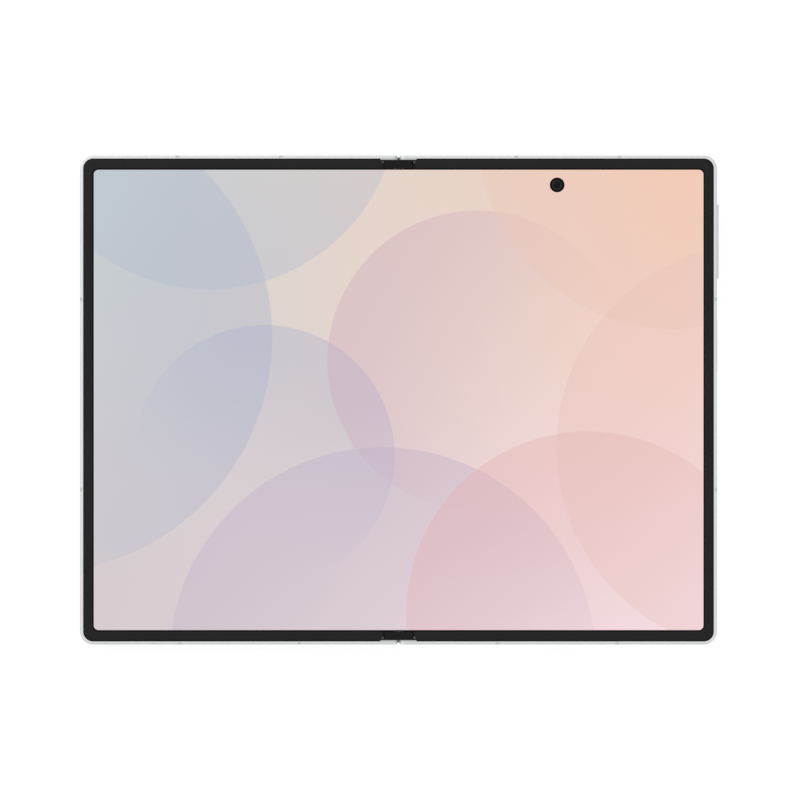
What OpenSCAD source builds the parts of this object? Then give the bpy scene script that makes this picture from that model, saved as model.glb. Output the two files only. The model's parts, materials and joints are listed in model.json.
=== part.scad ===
// Book-style folding smartphone, lying open on its back.
// X runs across both halves, Y up the screen and Z out of the inner screen.
// The origin is under the middle of the phone, level with the lowest point of the camera bump.

/* [Open phone] */
// Width over both halves when open, without the keys
open_w = 161.4; // [156:0.1:168]
// Height of the phone
open_h = 123.9; // [121:0.1:130]
// Thickness of each half, without the camera bump
body_t = 4.9; // [4.8:0.05:5.6]
// Radius of the outer corners seen from the front
corner_r = 3.3; // [3.15:0.05:4]
// Rounding of the metal edge at the screen side
front_edge_r = 0.3; // [0.1:0.05:0.45]
// Rounding of the metal edge at the back
back_edge_r = 0.7; // [0.2:0.05:0.8]

/* [Hinge] */
// Distance of each fold axis from the middle
axis_x = 1.5; // [1.45:0.01:1.55]
// Gap between the two screens when closed
closed_gap = 0.1; // [0.06:0.01:0.2]
// Gap between the two halves at the back when open
lip_gap = 0.2; // [0.1:0.02:0.4]
// Thickness of the metal lip that covers the spine when open
lip_t = 0.65; // [0.5:0.05:0.7]
// Running gap between the spine and the halves
spine_gap = 0.15; // [0.1:0.01:0.2]
// Wall of the spine cover
spine_wall = 0.5; // [0.35:0.05:0.6]
// Wall that closes each half over the end of the spine
end_wall_t = 1.1; // [1:0.05:1.2]
// Gap between the spine's end and that wall
end_gap = 0.15; // [0.1:0.01:0.25]
// Radius of the hinge pins
pin_r = 0.35; // [0.3:0.01:0.38]
// Depth of the hinge pins in the end walls
pin_seat = 0.55; // [0.4:0.05:0.7]
// Radial running clearance of pins and gears
run_gap = 0.03; // [0.02:0.005:0.05]
// Teeth on each hinge gear
gear_teeth = 12; // [12:2:16]
// Pitch radius of the hinge gears
gear_pitch_r = 0.7; // [0.68:0.01:0.74]
// Face width of the hinge gears
gear_w = 0.75; // [0.5:0.05:0.8]
// Radius of the idler gears' shafts
idler_shaft_r = 0.3; // [0.25:0.01:0.32]
// Inner plate of each hinge bracket
bracket_plate_t = 0.6; // [0.4:0.05:0.65]
// Angle that each wing plate tilts while its half closes
wing_tilt = 16; // [15.5:0.1:16.5]
// Distance of the wing plates' pivots from the middle
wing_pivot_x = 10; // [10:0.05:10.4]
// Thickness of the wing plates
wing_t = 0.3; // [0.2:0.05:0.35]
// Radius of the wing plates' pivot pins
wing_pin_r = 0.25; // [0.2:0.01:0.28]
// Half width of the rail that carries the middle of the screen
rail_half_w = 1.3; // [1.1:0.05:1.35]

/* [Inner screen] */
// Side edge of the phone to the lit picture
picture_side = 3.4; // [3.3:0.05:5]
// Top edge of the phone to the lit picture
picture_top = 3.55; // [3.45:0.05:5]
// Black border of the panel that shows round the picture
panel_border = 0.25; // [0.1:0.05:0.4]
// Thickness of the folding panel
panel_t = 0.45; // [0.35:0.05:0.5]
// Half width of the strip that bends
fold_strip = 8; // [7.5:0.1:9]
// Height of the plastic bezel above the panel
bezel_rise = 0.4; // [0.3:0.05:0.5]
// Metal that shows outside the bezel
rim_w = 0.85; // [0.7:0.05:0.95]
// Distance from the middle to the bezel's end at the hinge
bezel_start = 3.95; // [3.9:0.05:4.2]
// Inner camera: from the side edge
inner_cam_side = 40.5; // [35:0.1:45]
// Inner camera: from the top edge
inner_cam_top = 7.45; // [7:0.05:9]
// Inner camera: radius of the hole in the panel
inner_cam_r = 1.82; // [1.5:0.01:2]

/* [Back] */
// Thickness of the glass on both backs
glass_t = 0.6; // [0.4:0.05:0.65]
// Distance from the middle to the glass
glass_start = 5; // [4.9:0.05:5.6]
// Camera island: width
island_w = 19; // [18:0.1:20]
// Camera island: length
island_l = 42; // [40:0.1:44]
// Camera island: from the side edge
island_side = 5.9; // [5.5:0.1:8]
// Camera island: from the top edge
island_top = 3.45; // [3.2:0.05:5]
// Height of the camera island above the glass
island_h = 1.1; // [0.8:0.05:1.3]
// Height of the lens rings above the glass
bump_h = 1.6; // [1.4:0.05:2]
// Metal of the island outside a lens ring
ring_margin = 3; // [2.7:0.05:3.5]
// Radius of the flash lens
flash_r = 1.5; // [1.2:0.05:1.7]
// Thickness of the cover screen's panel
cover_panel_t = 0.6; // [0.4:0.05:0.62]

/* [Keys and openings] */
// Volume rocker: middle from the top edge
volume_top = 21.8; // [21:0.05:23]
// Volume rocker: length
volume_l = 18.75; // [16:0.05:19]
// Volume rocker: how far it stands out
volume_out = 0.46; // [0.3:0.01:0.6]
// Power key: middle from the top edge
power_top = 48.25; // [47:0.05:49]
// Power key: length
power_l = 13.2; // [12:0.05:13.6]
// Power key: how far it stands out
power_out = 0.12; // [0.05:0.01:0.4]
// Height of both keys
key_h = 1.9; // [1.6:0.05:2]
// Gap round the keys
key_gap = 0.12; // [0.08:0.01:0.16]
// USB socket: off the middle of its half
usb_shift = 0.32; // [-1:0.01:2]
// SIM tray: gap to the hinge's rib
sim_rib_gap = 1; // [0.9:0.05:1.1]
// Loudspeaker holes: middle from the side edge
speaker_side = 16.2; // [15:0.1:17.5]
// Earpiece holes: middle from the side edge
earpiece_side = 38.7; // [35:0.1:42]
// Width of the antenna bands
antenna_w = 1; // [0.6:0.05:1.4]

/* [Inside] */
// Main battery: gap to the band at the side
battery_side = 5.4; // [5:0.1:12]
// Main battery: height
battery_h = 60; // [50:0.5:60.5]
// Second battery: gap to the band at the side
battery2_side = 7.4; // [5.5:0.1:12]
// Second battery: top end from the top edge
battery2_top = 21.45; // [21:0.05:30]
// Thickness of the circuit boards
board_t = 0.6; // [0.4:0.05:0.8]
// Thickness of the plate under the screen
midplate_t = 0.45; // [0.35:0.05:0.5]
// Radius of the screw heads
screw_head_r = 0.9; // [0.7:0.05:1]
// Radius of the screw shafts
screw_r = 0.45; // [0.35:0.05:0.5]

/* [Hidden] */
$fn = 48;

// Small overlap that joins solids
eps = 0.02;
// Gap left for glue and for parts that only lie side by side
glue = 0.05;
half_w = open_w / 2;
half_h = open_h / 2;
picture_w = open_w - 2 * picture_side;
picture_h = open_h - 2 * picture_top;

// Heights over the back face
z_axis = body_t - axis_x + closed_gap / 2;
z_panel_top = body_t - bezel_rise;
z_panel = z_panel_top - panel_t;
z_midplate = z_panel - midplate_t;
z_bay = glass_t + glue;
z_cover_bay = z_bay + cover_panel_t + glue;
z_bay_mid = (z_bay + z_midplate) / 2;
// The lower face of what lies under the midplate
z_bay_top = z_midplate - 2 * glue;

// Hinge radii about each fold axis
cradle_r = z_axis - lip_t;
spine_r = cradle_r - spine_gap;
spine_in_r = spine_r - spine_wall;
spine_top = z_axis - 0.25;
spine_floor = z_axis - spine_in_r;
edge_round_r = axis_x - closed_gap / 2;
cap_r = 2.3;
cap_half_w = 3.65;
cap_t = 0.25;
hinge_edge = lip_gap / 2;
bar_edge = glass_start - glue;
cradle_wall_x = axis_x + cradle_r + 0.3;

// Places along the hinge
end_wall = half_h - end_wall_t;
spine_end = end_wall - end_gap;
panel_half_h = picture_h / 2 + panel_border;
end_zone = panel_half_h + 0.1;
bracket_in = end_zone + bracket_plate_t;
gear_mid = bracket_in + glue + gear_w / 2;
bracket_out = bracket_in + 2 * glue + gear_w;

// Hinge gears: the idlers sit under the fold axes and touch each other in the middle
gear_m = 2 * gear_pitch_r / gear_teeth;
gear_out_r = gear_pitch_r + 0.8 * gear_m;
gear_root_r = gear_pitch_r - 1.15 * gear_m;
z_cap = z_axis + gear_out_r + glue;
idler_x = gear_pitch_r;
idler_z = z_axis - sqrt(pow(2 * gear_pitch_r, 2) - pow(axis_x - idler_x, 2));
tooth_step = 360 / gear_teeth;
// Directions from each idler to its main gear, and the teeth that mesh there
right_mesh_dir = atan2(z_axis - idler_z, axis_x - idler_x);
right_idler_phase = 0;
left_idler_phase = tooth_step / 2;
right_main_phase = 2 * right_mesh_dir + 180 + tooth_step / 2 - right_idler_phase;
left_main_phase = 2 * (180 - right_mesh_dir) + 180 + tooth_step / 2 - left_idler_phase;

// Wing plates under the bending strip
wing_top = z_panel - glue;
wing_bottom = wing_top - wing_t;
wing_pivot_z = wing_top - wing_pin_r;
wing_start = rail_half_w + 0.3;
wing_half_h = end_zone - 0.45;
wing_pin_l = 0.9;
well_edge = wing_pivot_x + 0.4;
rib_t = 0.8;
rib_edge = well_edge + rib_t;
cradle_top = wing_bottom - (wing_pivot_x - axis_x - cradle_r + 0.5) * tan(wing_tilt) - 0.08;
well_floor_t = 0.45;
well_floor_t2 = 0.3;

// Screws that hold the rail to the spine cover
rail_screw_step = 32;
rail_screw_y = [for (i = [-1.5 : 1 : 1.5]) i * rail_screw_step];
rail_screw_r = 0.3;
rail_head_r = 0.55;

// Cables that cross the hinge
flex_y = 28;
flex_w = 8;
flex_t = 0.12;
flex_z = spine_top + 0.16;
flex_slot = flex_w + 1;

// Metal band round each half, measured in from the outside
band_w = 2.3;
shelf_w = 3;
shelf_t = 0.5;
bay_edge_x = half_w - band_w;
bay_edge_y = half_h - band_w;

// Bezel and panel outlines
view_x = picture_w / 2 + panel_border;
view_y = panel_half_h;
view_corner_r = 1.45;
panel_tuck = 0.6;
bezel_flange_z = z_panel_top + 0.03;
ear_l = 0.65;
ear_inset = 0.25;
notch_w = 0.62;
inner_cam_x = half_w - inner_cam_side;
inner_cam_y = half_h - inner_cam_top;

// Main battery and main board
battery_x = 25;
battery_y = -half_h + 12.45;
board_y = battery_y + battery_h + 2.5;

// Screws between midplate and frame: x from the middle and y
boss_r = 1.3;
screw_end_y = bay_edge_y - 2.85;
hinge_screw_x = rib_edge + 1.1;
side_screw_x = bay_edge_x - 1.2;
screw_xy = [
  [hinge_screw_x, screw_end_y], [hinge_screw_x, 8], [hinge_screw_x, -half_h + 19.95],
  [side_screw_x, screw_end_y], [side_screw_x, board_y - 13], [side_screw_x, -half_h + 33.95],
  [side_screw_x, -screw_end_y]
];

// Antenna bands: x of those on the top and bottom edges, y of those on the side
antenna_top_x = [half_w - 50.85, half_w - 24.7];
antenna_bottom_x = [rib_edge + 13.9, half_w - 25.3];
antenna_side_y = [half_h - 36.45, half_h - 84.65];
antenna_depth = 0.6;

// Rear cameras: the run below the upper camera is shared by the lower camera, the flash and the end
island_x = half_w - island_side - island_w / 2;
island_y = half_h - island_top - island_l / 2;
island_run = island_l - island_w / 2;
upper_cam_y = island_y + island_l / 2 - island_w / 2;
cam_y = [upper_cam_y, upper_cam_y - island_run * 34 / 65];
flash_y = cam_y[1] - island_run * 21 / 65;
ring_r = island_w / 2 - ring_margin;
ring_in_r = ring_r - 0.9;
cam_box = 2 * ring_r - 2;

// USB socket, to the standard's receptacle
usb_in_w = 8.34;
usb_in_h = 2.56;
usb_wall = 0.15;
usb_l = 7.3;
usb_tongue_w = 6.69;
usb_tongue_t = 0.7;
usb_x = half_w / 2 + usb_shift;
usb_z = z_bay + glue + usb_in_h / 2 + usb_wall;
usb_y = -half_h + 0.6;

// SIM tray for a nano card
sim_z = 2.55;
sim_card_w = 8.8;
sim_card_l = 12.3;
sim_card_t = 0.67;
sim_plate_w = sim_card_w + 1.8;
sim_plate_t = 1.1;
sim_plate_l = 16;
sim_face_w = 13.2;
sim_face_h = 1.9;
sim_face_t = 0.9;
sim_gap = 0.1;
reader_wall = 0.4;
sim_x = rib_edge + sim_rib_gap + reader_wall + sim_plate_w / 2;
sim_pin_x = sim_x + sim_face_w / 2 - 0.65;
sim_card_y = -half_h + sim_face_t + 1.5;

// Sound holes and microphones
speaker_x = half_w - speaker_side;
earpiece_x = half_w - earpiece_side;
speaker_pitch = 2.2;
speaker_hole_r = 0.55;
earpiece_pitch = 1.8;
small_hole_r = 0.4;
mic_x = usb_x - 10.5;

// Keys
volume_y = half_h - volume_top;
power_y = half_h - power_top;
key_z = 2.55;
key_seat = 1.2;
flange_t = 0.5;
flange_play = 0.32;
flange_extra = 0.4;
flange_x = half_w - key_seat - flange_play - flange_t;
key_travel = 0.22;
key_bracket_x = flange_x - 1.1;
switch_w = 2.4;
switch_h = 1.2;

// What lies in the bays
battery_w = bay_edge_x - battery_side - battery_x;
battery2_w = bay_edge_x - battery2_side - battery_x;
battery2_h = half_h - battery2_top - battery_y;
coil_t = 0.25;
coil_r = battery_w / 2 - 4;
board2_y = battery_y + battery2_h + 1.5;
board_z = z_bay_mid;
// Shield cans, between the hinge and the rear cameras and below the inner camera
can_gap = 1.5;
can_start_x = rib_edge + 4.8;
can_start_y = board_y + 3;
can_end_x = island_x - cam_box / 2 - 6.3;
can_w = (can_end_x - can_start_x - can_gap) / 2;
can_l = inner_cam_y - 7.5 - can_start_y;
magnet_w = 1.8;
magnet_l = 8;
magnet_y = [-half_h + 19.95, board_y - 25, board_y - 1 - magnet_l];
cover_cam_y = half_h - 7.95;
cover_cam_r = 1.6;
// Row of parts along the bottom edge, below the batteries
bottom_row_y = -half_h + shelf_w + 0.2;
motor_w = usb_x - 6.17 - battery_x - 0.5;
speaker_box_x = usb_x + 10.33;

// ---- Shared shapes ----

module lift() {
  translate([0, 0, bump_h]) children();
}

// Extrudes an X-Z outline along Y
module along_y(y0, y1) {
  translate([0, y1, 0]) rotate([90, 0, 0]) linear_extrude(y1 - y0) children();
}

// Extrudes a Y-Z outline along X
module along_x(x0, x1) {
  translate([x0, 0, 0]) rotate([90, 0, 90]) linear_extrude(x1 - x0) children();
}

// Extrudes an X-Y outline from one height to another
module up(z0, z1) {
  translate([0, 0, z0]) linear_extrude(z1 - z0) children();
}

module both_ends() {
  children();
  mirror([0, 1, 0]) children();
}

module box(x0, x1, y0, y1, z0, z1) {
  translate([x0, y0, z0]) cube([x1 - x0, y1 - y0, z1 - z0]);
}

module rod_y(x, z, r, y0, y1) {
  translate([x, y1, z]) rotate([90, 0, 0]) cylinder(r = r, h = y1 - y0);
}

module disc(x, y, r, z0, z1) {
  translate([x, y, z0]) cylinder(r = r, h = z1 - z0);
}

module rounded_rect(x0, x1, y0, y1, r) {
  translate([x0 + r, y0]) square([x1 - x0 - 2 * r, y1 - y0]);
  translate([x0, y0 + r]) square([x1 - x0, y1 - y0 - 2 * r]);
  for (x = [x0 + r, x1 - r], y = [y0 + r, y1 - r])
    translate([x, y]) circle(r);
}

// Outline of one half: square at the hinge, round at the outer corners
module half_outline(x0, x1, y, r) {
  translate([x0, -y]) square([x1 - r - x0, 2 * y]);
  translate([x1 - r - eps, -y + r]) square([r + eps, 2 * (y - r)]);
  for (s = [-1, 1])
    translate([x1 - r, s * (y - r)]) circle(r);
}

module stadium(w, h) {
  translate([-(w - h) / 2, -h / 2]) square([w - h, h]);
  for (s = [-1, 1])
    translate([s * (w - h) / 2, 0]) circle(h / 2);
}

// Cuts a round edge of radius r off the outline's corner at the origin, towards +X and +Y
module corner_cut(r) {
  difference() {
    translate([-1, -1]) square([1 + r, 1 + r]);
    translate([r, r]) circle(r);
  }
}

// ---- Band round a half ----

// Sweeps a profile (depth from the outside, height) round the three outer edges of a half
module edge_sweep(x0) {
  along_y(-(half_h - corner_r), half_h - corner_r)
    translate([half_w, 0]) mirror([1, 0]) children();
  both_ends() {
    along_x(x0, half_w - corner_r) translate([half_h, 0]) mirror([1, 0]) children();
    translate([half_w - corner_r, half_h - corner_r, 0])
      rotate_extrude(angle = 90, $fn = 96) translate([corner_r, 0]) mirror([1, 0]) children();
  }
}

module rim_profile(w) {
  difference() {
    square([w, body_t]);
    corner_cut(back_edge_r);
    translate([0, body_t]) mirror([0, 1]) corner_cut(front_edge_r);
  }
}

module band_profile() {
  rim_profile(rim_w);
  translate([rim_w - eps, z_bay]) square([band_w - rim_w + eps, z_panel - z_bay]);
  translate([band_w - eps, z_midplate - shelf_t]) square([shelf_w - band_w + eps, shelf_t]);
}

module antenna_blocks() {
  w = antenna_w / 2;
  d = antenna_depth;
  for (x = antenna_top_x)
    box(x - w, x + w, half_h - d, half_h + 1, -1, body_t + 1);
  for (x = antenna_bottom_x)
    box(x - w, x + w, -half_h - 1, -half_h + d, -1, body_t + 1);
  for (y = antenna_side_y)
    box(half_w - d, half_w + 1, y - w, y + w, -1, body_t + 1);
}

module antenna_bands() {
  intersection() {
    edge_sweep(hinge_edge) rim_profile(antenna_depth);
    antenna_blocks();
  }
}

// ---- Hinge side of a half ----

// Space kept free for the spine, seen along the hinge
module spine_space() {
  translate([axis_x, z_axis]) circle(cradle_r, $fn = 96);
  translate([-1, lip_t]) square([1 + axis_x, body_t]);
  translate([-1, z_axis]) square([bezel_start + 1 + 0.35, body_t]);
}

// Corner of the end wall that would strike the other half while closing
module closing_corner() {
  difference() {
    translate([-1, z_axis]) square([1 + axis_x, body_t]);
    translate([axis_x, z_axis]) circle(edge_round_r, $fn = 96);
  }
}

module hinge_bar(floor_z, floor_t) {
  // Lip and cradle wall along the spine
  box(hinge_edge, bar_edge, -end_wall - eps, end_wall + eps, 0, floor_z + floor_t);
  box(axis_x, cradle_wall_x, -end_wall, end_wall, lip_t - eps, cradle_top);
  // Floor under the wing plate and the rib beside it
  box(axis_x, rib_edge, -end_wall, end_wall, floor_z, floor_z + floor_t);
  box(well_edge, rib_edge, -end_wall, end_wall, floor_z, z_midplate);
  // Blocks that carry the bezel's ends and the wing plate's pivots
  both_ends()
    box(axis_x, well_edge + glue, end_zone, end_wall + eps, floor_z, z_panel);
}

// Small metal ear between the bezel's end and the hinge cap
module hinge_ear() {
  both_ends()
    along_y(end_wall - ear_inset - ear_l, end_wall - ear_inset)
      difference() {
        translate([bezel_start - 0.2, z_panel - 0.3]) square([0.57, bezel_rise + panel_t + 0.02]);
        translate([axis_x, z_axis]) circle(cap_r + 0.12, $fn = 96);
      }
}

module frame_body(floor_z, floor_t) {
  hinge_ear();
  difference() {
    union() {
      edge_sweep(hinge_edge) band_profile();
      hinge_bar(floor_z, floor_t);
      // End walls over the spine, from the rim in to the spine
      both_ends()
        box(hinge_edge, bezel_start + 0.6, end_wall, half_h - rim_w + eps, 0, body_t);
      for (p = screw_xy)
        disc(p[0], p[1], boss_r, floor_z, z_midplate);
    }
    along_y(-end_wall, end_wall) spine_space();
    along_y(-half_h - 1, half_h + 1) closing_corner();
    antenna_blocks();
    for (p = screw_xy)
      disc(p[0], p[1], screw_r, z_midplate - 2.1, z_midplate + 1);
    // Slots in the rib for the cables that cross the hinge
    for (s = [-1, 1])
      box(well_edge - 1, rib_edge + 1, s * flex_y - flex_slot / 2, s * flex_y + flex_slot / 2,
        flex_z - 0.15, z_midplate + 1);
    both_ends() {
      // Small notch between the halves, seen from the front
      translate([hinge_edge, half_h, body_t / 2]) rotate([0, 0, 45])
        cube([notch_w, notch_w, 2 * body_t], center = true);
      rod_y(axis_x, z_axis, pin_r, end_wall - 0.1, end_wall + pin_seat);
      rod_y(wing_pivot_x, wing_pivot_z, wing_pin_r + run_gap, end_zone - 0.1, end_zone + 0.7);
    }
  }
}

module bezel() {
  difference() {
    union() {
      up(z_panel, bezel_flange_z)
        difference() {
          half_outline(bezel_start, half_w - rim_w - glue, half_h - rim_w - glue, corner_r - rim_w);
          half_outline(-1, view_x + panel_tuck + glue, view_y + panel_tuck + glue, view_corner_r);
        }
      up(bezel_flange_z, body_t)
        difference() {
          half_outline(bezel_start, half_w - rim_w - glue, half_h - rim_w - glue, corner_r - rim_w);
          half_outline(-1, view_x, view_y, view_corner_r);
        }
    }
    both_ends() {
      box(bezel_start - 1, bezel_start + 0.65, end_wall - glue, half_h, 0, body_t + 1);
      box(bezel_start - 1, bezel_start + 0.4, end_wall - ear_inset - ear_l - glue, half_h, 0,
        body_t + 1);
    }
  }
}

module display_half(cam) {
  up(z_panel, z_panel_top)
    difference() {
      half_outline(fold_strip, view_x + panel_tuck, view_y + panel_tuck, view_corner_r);
      if (cam) translate([inner_cam_x, inner_cam_y]) circle(inner_cam_r);
    }
}

module midplate(cam) {
  difference() {
    up(z_midplate, z_panel)
      half_outline(well_edge + 0.1, bay_edge_x - glue, bay_edge_y - glue, 1);
    for (p = screw_xy) {
      disc(p[0], p[1], screw_r, z_midplate - 1, z_panel + 1);
      disc(p[0], p[1], screw_head_r + glue, z_midplate + 0.15, z_panel + 1);
    }
    if (cam) disc(inner_cam_x, inner_cam_y, inner_cam_r + 0.3, z_midplate - 1, z_panel + 1);
  }
}

module midplate_screws() {
  for (p = screw_xy) {
    disc(p[0], p[1], screw_r, z_midplate - 2, z_midplate + 0.2);
    disc(p[0], p[1], screw_head_r, z_midplate + 0.15, z_panel - glue);
  }
}

module hinge_pins() {
  both_ends()
    rod_y(axis_x, z_axis, pin_r, end_zone + glue, end_wall + pin_seat);
}

module gear_outline(phase) {
  circle(gear_root_r);
  for (i = [0 : gear_teeth - 1])
    rotate(phase + i * tooth_step)
      polygon([
        [gear_root_r - 0.05, -0.3 * gear_m * PI / 2],
        [gear_pitch_r, -0.36 * gear_m * PI / 2],
        [gear_out_r, -0.18 * gear_m * PI / 2],
        [gear_out_r, 0.18 * gear_m * PI / 2],
        [gear_pitch_r, 0.36 * gear_m * PI / 2],
        [gear_root_r - 0.05, 0.3 * gear_m * PI / 2]
      ]);
}

// One gear at each end of the hinge
module gear_pair(x, z, phase, bore_r) {
  for (s = [-1, 1])
    along_y(s * gear_mid - gear_w / 2, s * gear_mid + gear_w / 2)
      translate([x, z])
        difference() {
          gear_outline(phase);
          circle(bore_r);
        }
}

module wing_plate() {
  difference() {
    box(wing_start, wing_pivot_x + 0.1, -wing_half_h, wing_half_h, wing_bottom, wing_top);
    for (s = [-1, 1])
      box(wing_start - 1, wing_pivot_x - 0.5, s * flex_y - flex_slot / 2, s * flex_y + flex_slot / 2,
        wing_bottom - 1, wing_top + 1);
  }
  both_ends()
    rod_y(wing_pivot_x, wing_pivot_z, wing_pin_r, wing_half_h - 0.4, wing_half_h + wing_pin_l);
}

module magnets() {
  for (y = magnet_y)
    box(bay_edge_x - 1.4 - magnet_w, bay_edge_x - 1.4, y, y + magnet_l, z_cover_bay + glue, z_bay_top);
}

module pouch(x0, x1, y0, y1, z0, z1) {
  up(z0, z1) rounded_rect(x0, x1, y0, y1, 1.5);
}

// ---- Spine ----

module spine_outline(r) {
  for (s = [-1, 1])
    translate([s * axis_x, z_axis]) circle(r, $fn = 96);
  translate([-axis_x, z_axis - r]) square([2 * axis_x, 2 * r]);
}

module spine_cover() {
  lift() color("silver")
    difference() {
      along_y(-spine_end, spine_end)
        intersection() {
          difference() {
            spine_outline(spine_r);
            spine_outline(spine_in_r);
          }
          translate([-10, 0]) square([20, spine_top]);
        }
      for (y = rail_screw_y)
        disc(0, y, rail_screw_r, spine_floor - 0.3, spine_floor + 1);
    }
}

module bracket_outline() {
  intersection() {
    spine_outline(spine_in_r - run_gap);
    translate([-10, 0]) square([20, z_cap]);
  }
}

module bracket_webs() {
  difference() {
    bracket_outline();
    for (s = [-1, 1])
      translate([s * axis_x, z_axis]) circle(gear_out_r + 0.1);
    translate([-axis_x - 0.5, 0]) square([2 * axis_x + 1, 10]);
  }
}

module hinge_brackets() {
  lift() color("dimgray")
    both_ends()
      difference() {
        union() {
          along_y(end_zone + glue, bracket_in) bracket_outline();
          along_y(bracket_out, spine_end) bracket_outline();
          along_y(bracket_in - eps, bracket_out + eps) bracket_webs();
        }
        for (s = [-1, 1]) {
          rod_y(s * axis_x, z_axis, pin_r + run_gap, end_zone - 1, spine_end + 1);
          rod_y(s * idler_x, idler_z, idler_shaft_r, end_zone - 1, spine_end - 0.2);
        }
      }
}

module idler_shafts() {
  lift() color("lightgray")
    both_ends()
      for (s = [-1, 1])
        rod_y(s * idler_x, idler_z, idler_shaft_r, end_zone + glue, spine_end - 0.2);
}

module display_rail() {
  lift() color("gray")
    difference() {
      box(-rail_half_w, rail_half_w, -end_zone, end_zone, spine_floor + run_gap, wing_top - glue);
      // Windows for the cables
      for (s = [-1, 1])
        box(-2 * rail_half_w, 2 * rail_half_w, s * flex_y - flex_slot / 2,
          s * flex_y + flex_slot / 2, flex_z - 0.1, flex_z + flex_t + 0.1);
      for (y = rail_screw_y) {
        disc(0, y, rail_screw_r, 0, body_t);
        disc(0, y, rail_head_r + glue, wing_top - 0.5, body_t);
      }
    }
}

module rail_screws() {
  lift() color("lightgray")
    for (y = rail_screw_y) {
      disc(0, y, rail_screw_r, spine_floor - 0.25, wing_top - 0.45);
      disc(0, y, rail_head_r, wing_top - 0.5, wing_top - 0.2);
    }
}

module hinge_end_caps() {
  lift() color([0.1, 0.1, 0.1])
    both_ends()
      along_y(end_zone - 0.06, spine_end)
        intersection() {
          union() {
            for (s = [-1, 1])
              translate([s * axis_x, z_axis]) circle(cap_r, $fn = 96);
            translate([-axis_x, z_axis]) square([2 * axis_x, 2]);
          }
          translate([-cap_half_w, z_cap + eps]) square([2 * cap_half_w, cap_t]);
        }
}

module inner_display_fold() {
  lift() color([0.9, 0.85, 0.84])
    box(-fold_strip, fold_strip, -panel_half_h, panel_half_h, z_panel, z_panel_top);
}

module hinge_flex_cables() {
  lift() color("darkgoldenrod")
    for (s = [-1, 1]) {
      box(-rib_edge - 1.5, rib_edge + 1.5, s * flex_y - flex_w / 2, s * flex_y + flex_w / 2,
        flex_z, flex_z + flex_t);
    }
}

module right_idler_gears() {
  lift() color("darkgray")
    gear_pair(idler_x, idler_z, right_idler_phase, idler_shaft_r + run_gap);
}

module left_idler_gears() {
  lift() color("darkgray")
    gear_pair(-idler_x, idler_z, left_idler_phase, idler_shaft_r + run_gap);
}

// ---- Right half ----

module right_frame() {
  lift() color("gainsboro")
    difference() {
      frame_body(z_bay, well_floor_t);
      // Volume rocker and power key
      for (k = [[volume_y, volume_l], [power_y, power_l]]) {
        along_x(half_w - key_seat, half_w + 1)
          translate([k[0], key_z]) stadium(k[1] + 2 * key_gap, key_h + 2 * key_gap);
        box(half_w - shelf_w - 1, half_w - key_seat + eps, k[0] - k[1] / 2 - flange_extra - 0.2,
          k[0] + k[1] / 2 + flange_extra + 0.2, key_z - key_h / 2 - 0.35, key_z + key_h / 2 + 0.35);
      }
      // USB socket
      along_y(-half_h - 1, -half_h + shelf_w + 1)
        translate([usb_x, usb_z])
          stadium(usb_in_w + 2 * usb_wall + 2 * glue, usb_in_h + 2 * usb_wall + 2 * glue);
      // SIM tray: face plate, tray and the hole for the ejector pin
      box(sim_x - sim_face_w / 2 - sim_gap, sim_x + sim_face_w / 2 + sim_gap,
        -half_h - 1, -half_h + sim_face_t + sim_gap,
        sim_z - sim_face_h / 2 - sim_gap, sim_z + sim_face_h / 2 + sim_gap);
      box(sim_x - sim_plate_w / 2 - sim_gap, sim_x + sim_plate_w / 2 + sim_gap,
        -half_h, -half_h + shelf_w + 1, sim_z - sim_plate_t / 2 - sim_gap,
        sim_z + sim_plate_t / 2 + sim_gap);
      rod_y(sim_pin_x, sim_z, 0.4, -half_h - 1, -half_h + shelf_w + 1);
      // Loudspeaker holes and microphones
      for (i = [-2.5 : 1 : 2.5])
        rod_y(speaker_x + i * speaker_pitch, z_bay_mid, speaker_hole_r, -half_h - 1,
          -half_h + shelf_w + 1);
      rod_y(mic_x, z_bay_mid, small_hole_r, -half_h - 1, -half_h + shelf_w + 1);
      rod_y(usb_x - 2, z_bay_mid, small_hole_r, half_h - shelf_w - 1, half_h + 1);
    }
}

module right_bezel() {
  lift() color([0.15, 0.15, 0.15]) bezel();
}

module inner_display_right() {
  lift() color([0.92, 0.85, 0.83]) display_half(true);
}

module right_midplate() {
  lift() color("slategray") midplate(true);
}

module right_screws() {
  lift() color("lightgray") midplate_screws();
}

module right_back_glass() {
  lift() color("whitesmoke")
    difference() {
      up(0, glass_t)
        half_outline(glass_start, half_w - rim_w - glue, half_h - rim_w - glue, corner_r - rim_w);
      up(-1, glass_t + 1)
        translate([island_x, island_y]) rotate(90) stadium(island_l + 2 * glue, island_w + 2 * glue);
    }
}

module right_antenna_bands() {
  lift() color("lightgray") antenna_bands();
}

module right_hinge_pins() {
  lift() color("silver") hinge_pins();
}

module right_main_gears() {
  lift() color("darkgray")
    gear_pair(axis_x, z_axis, right_main_phase, pin_r);
}

module right_magnets() {
  lift() color("dimgray") magnets();
}

// Cross-section of the island from its centre line out
module island_profile() {
  difference() {
    translate([0, -island_h]) square([island_w / 2, island_h + z_bay]);
    translate([island_w / 2, -island_h]) mirror([1, 0]) corner_cut(0.5);
  }
}

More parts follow.
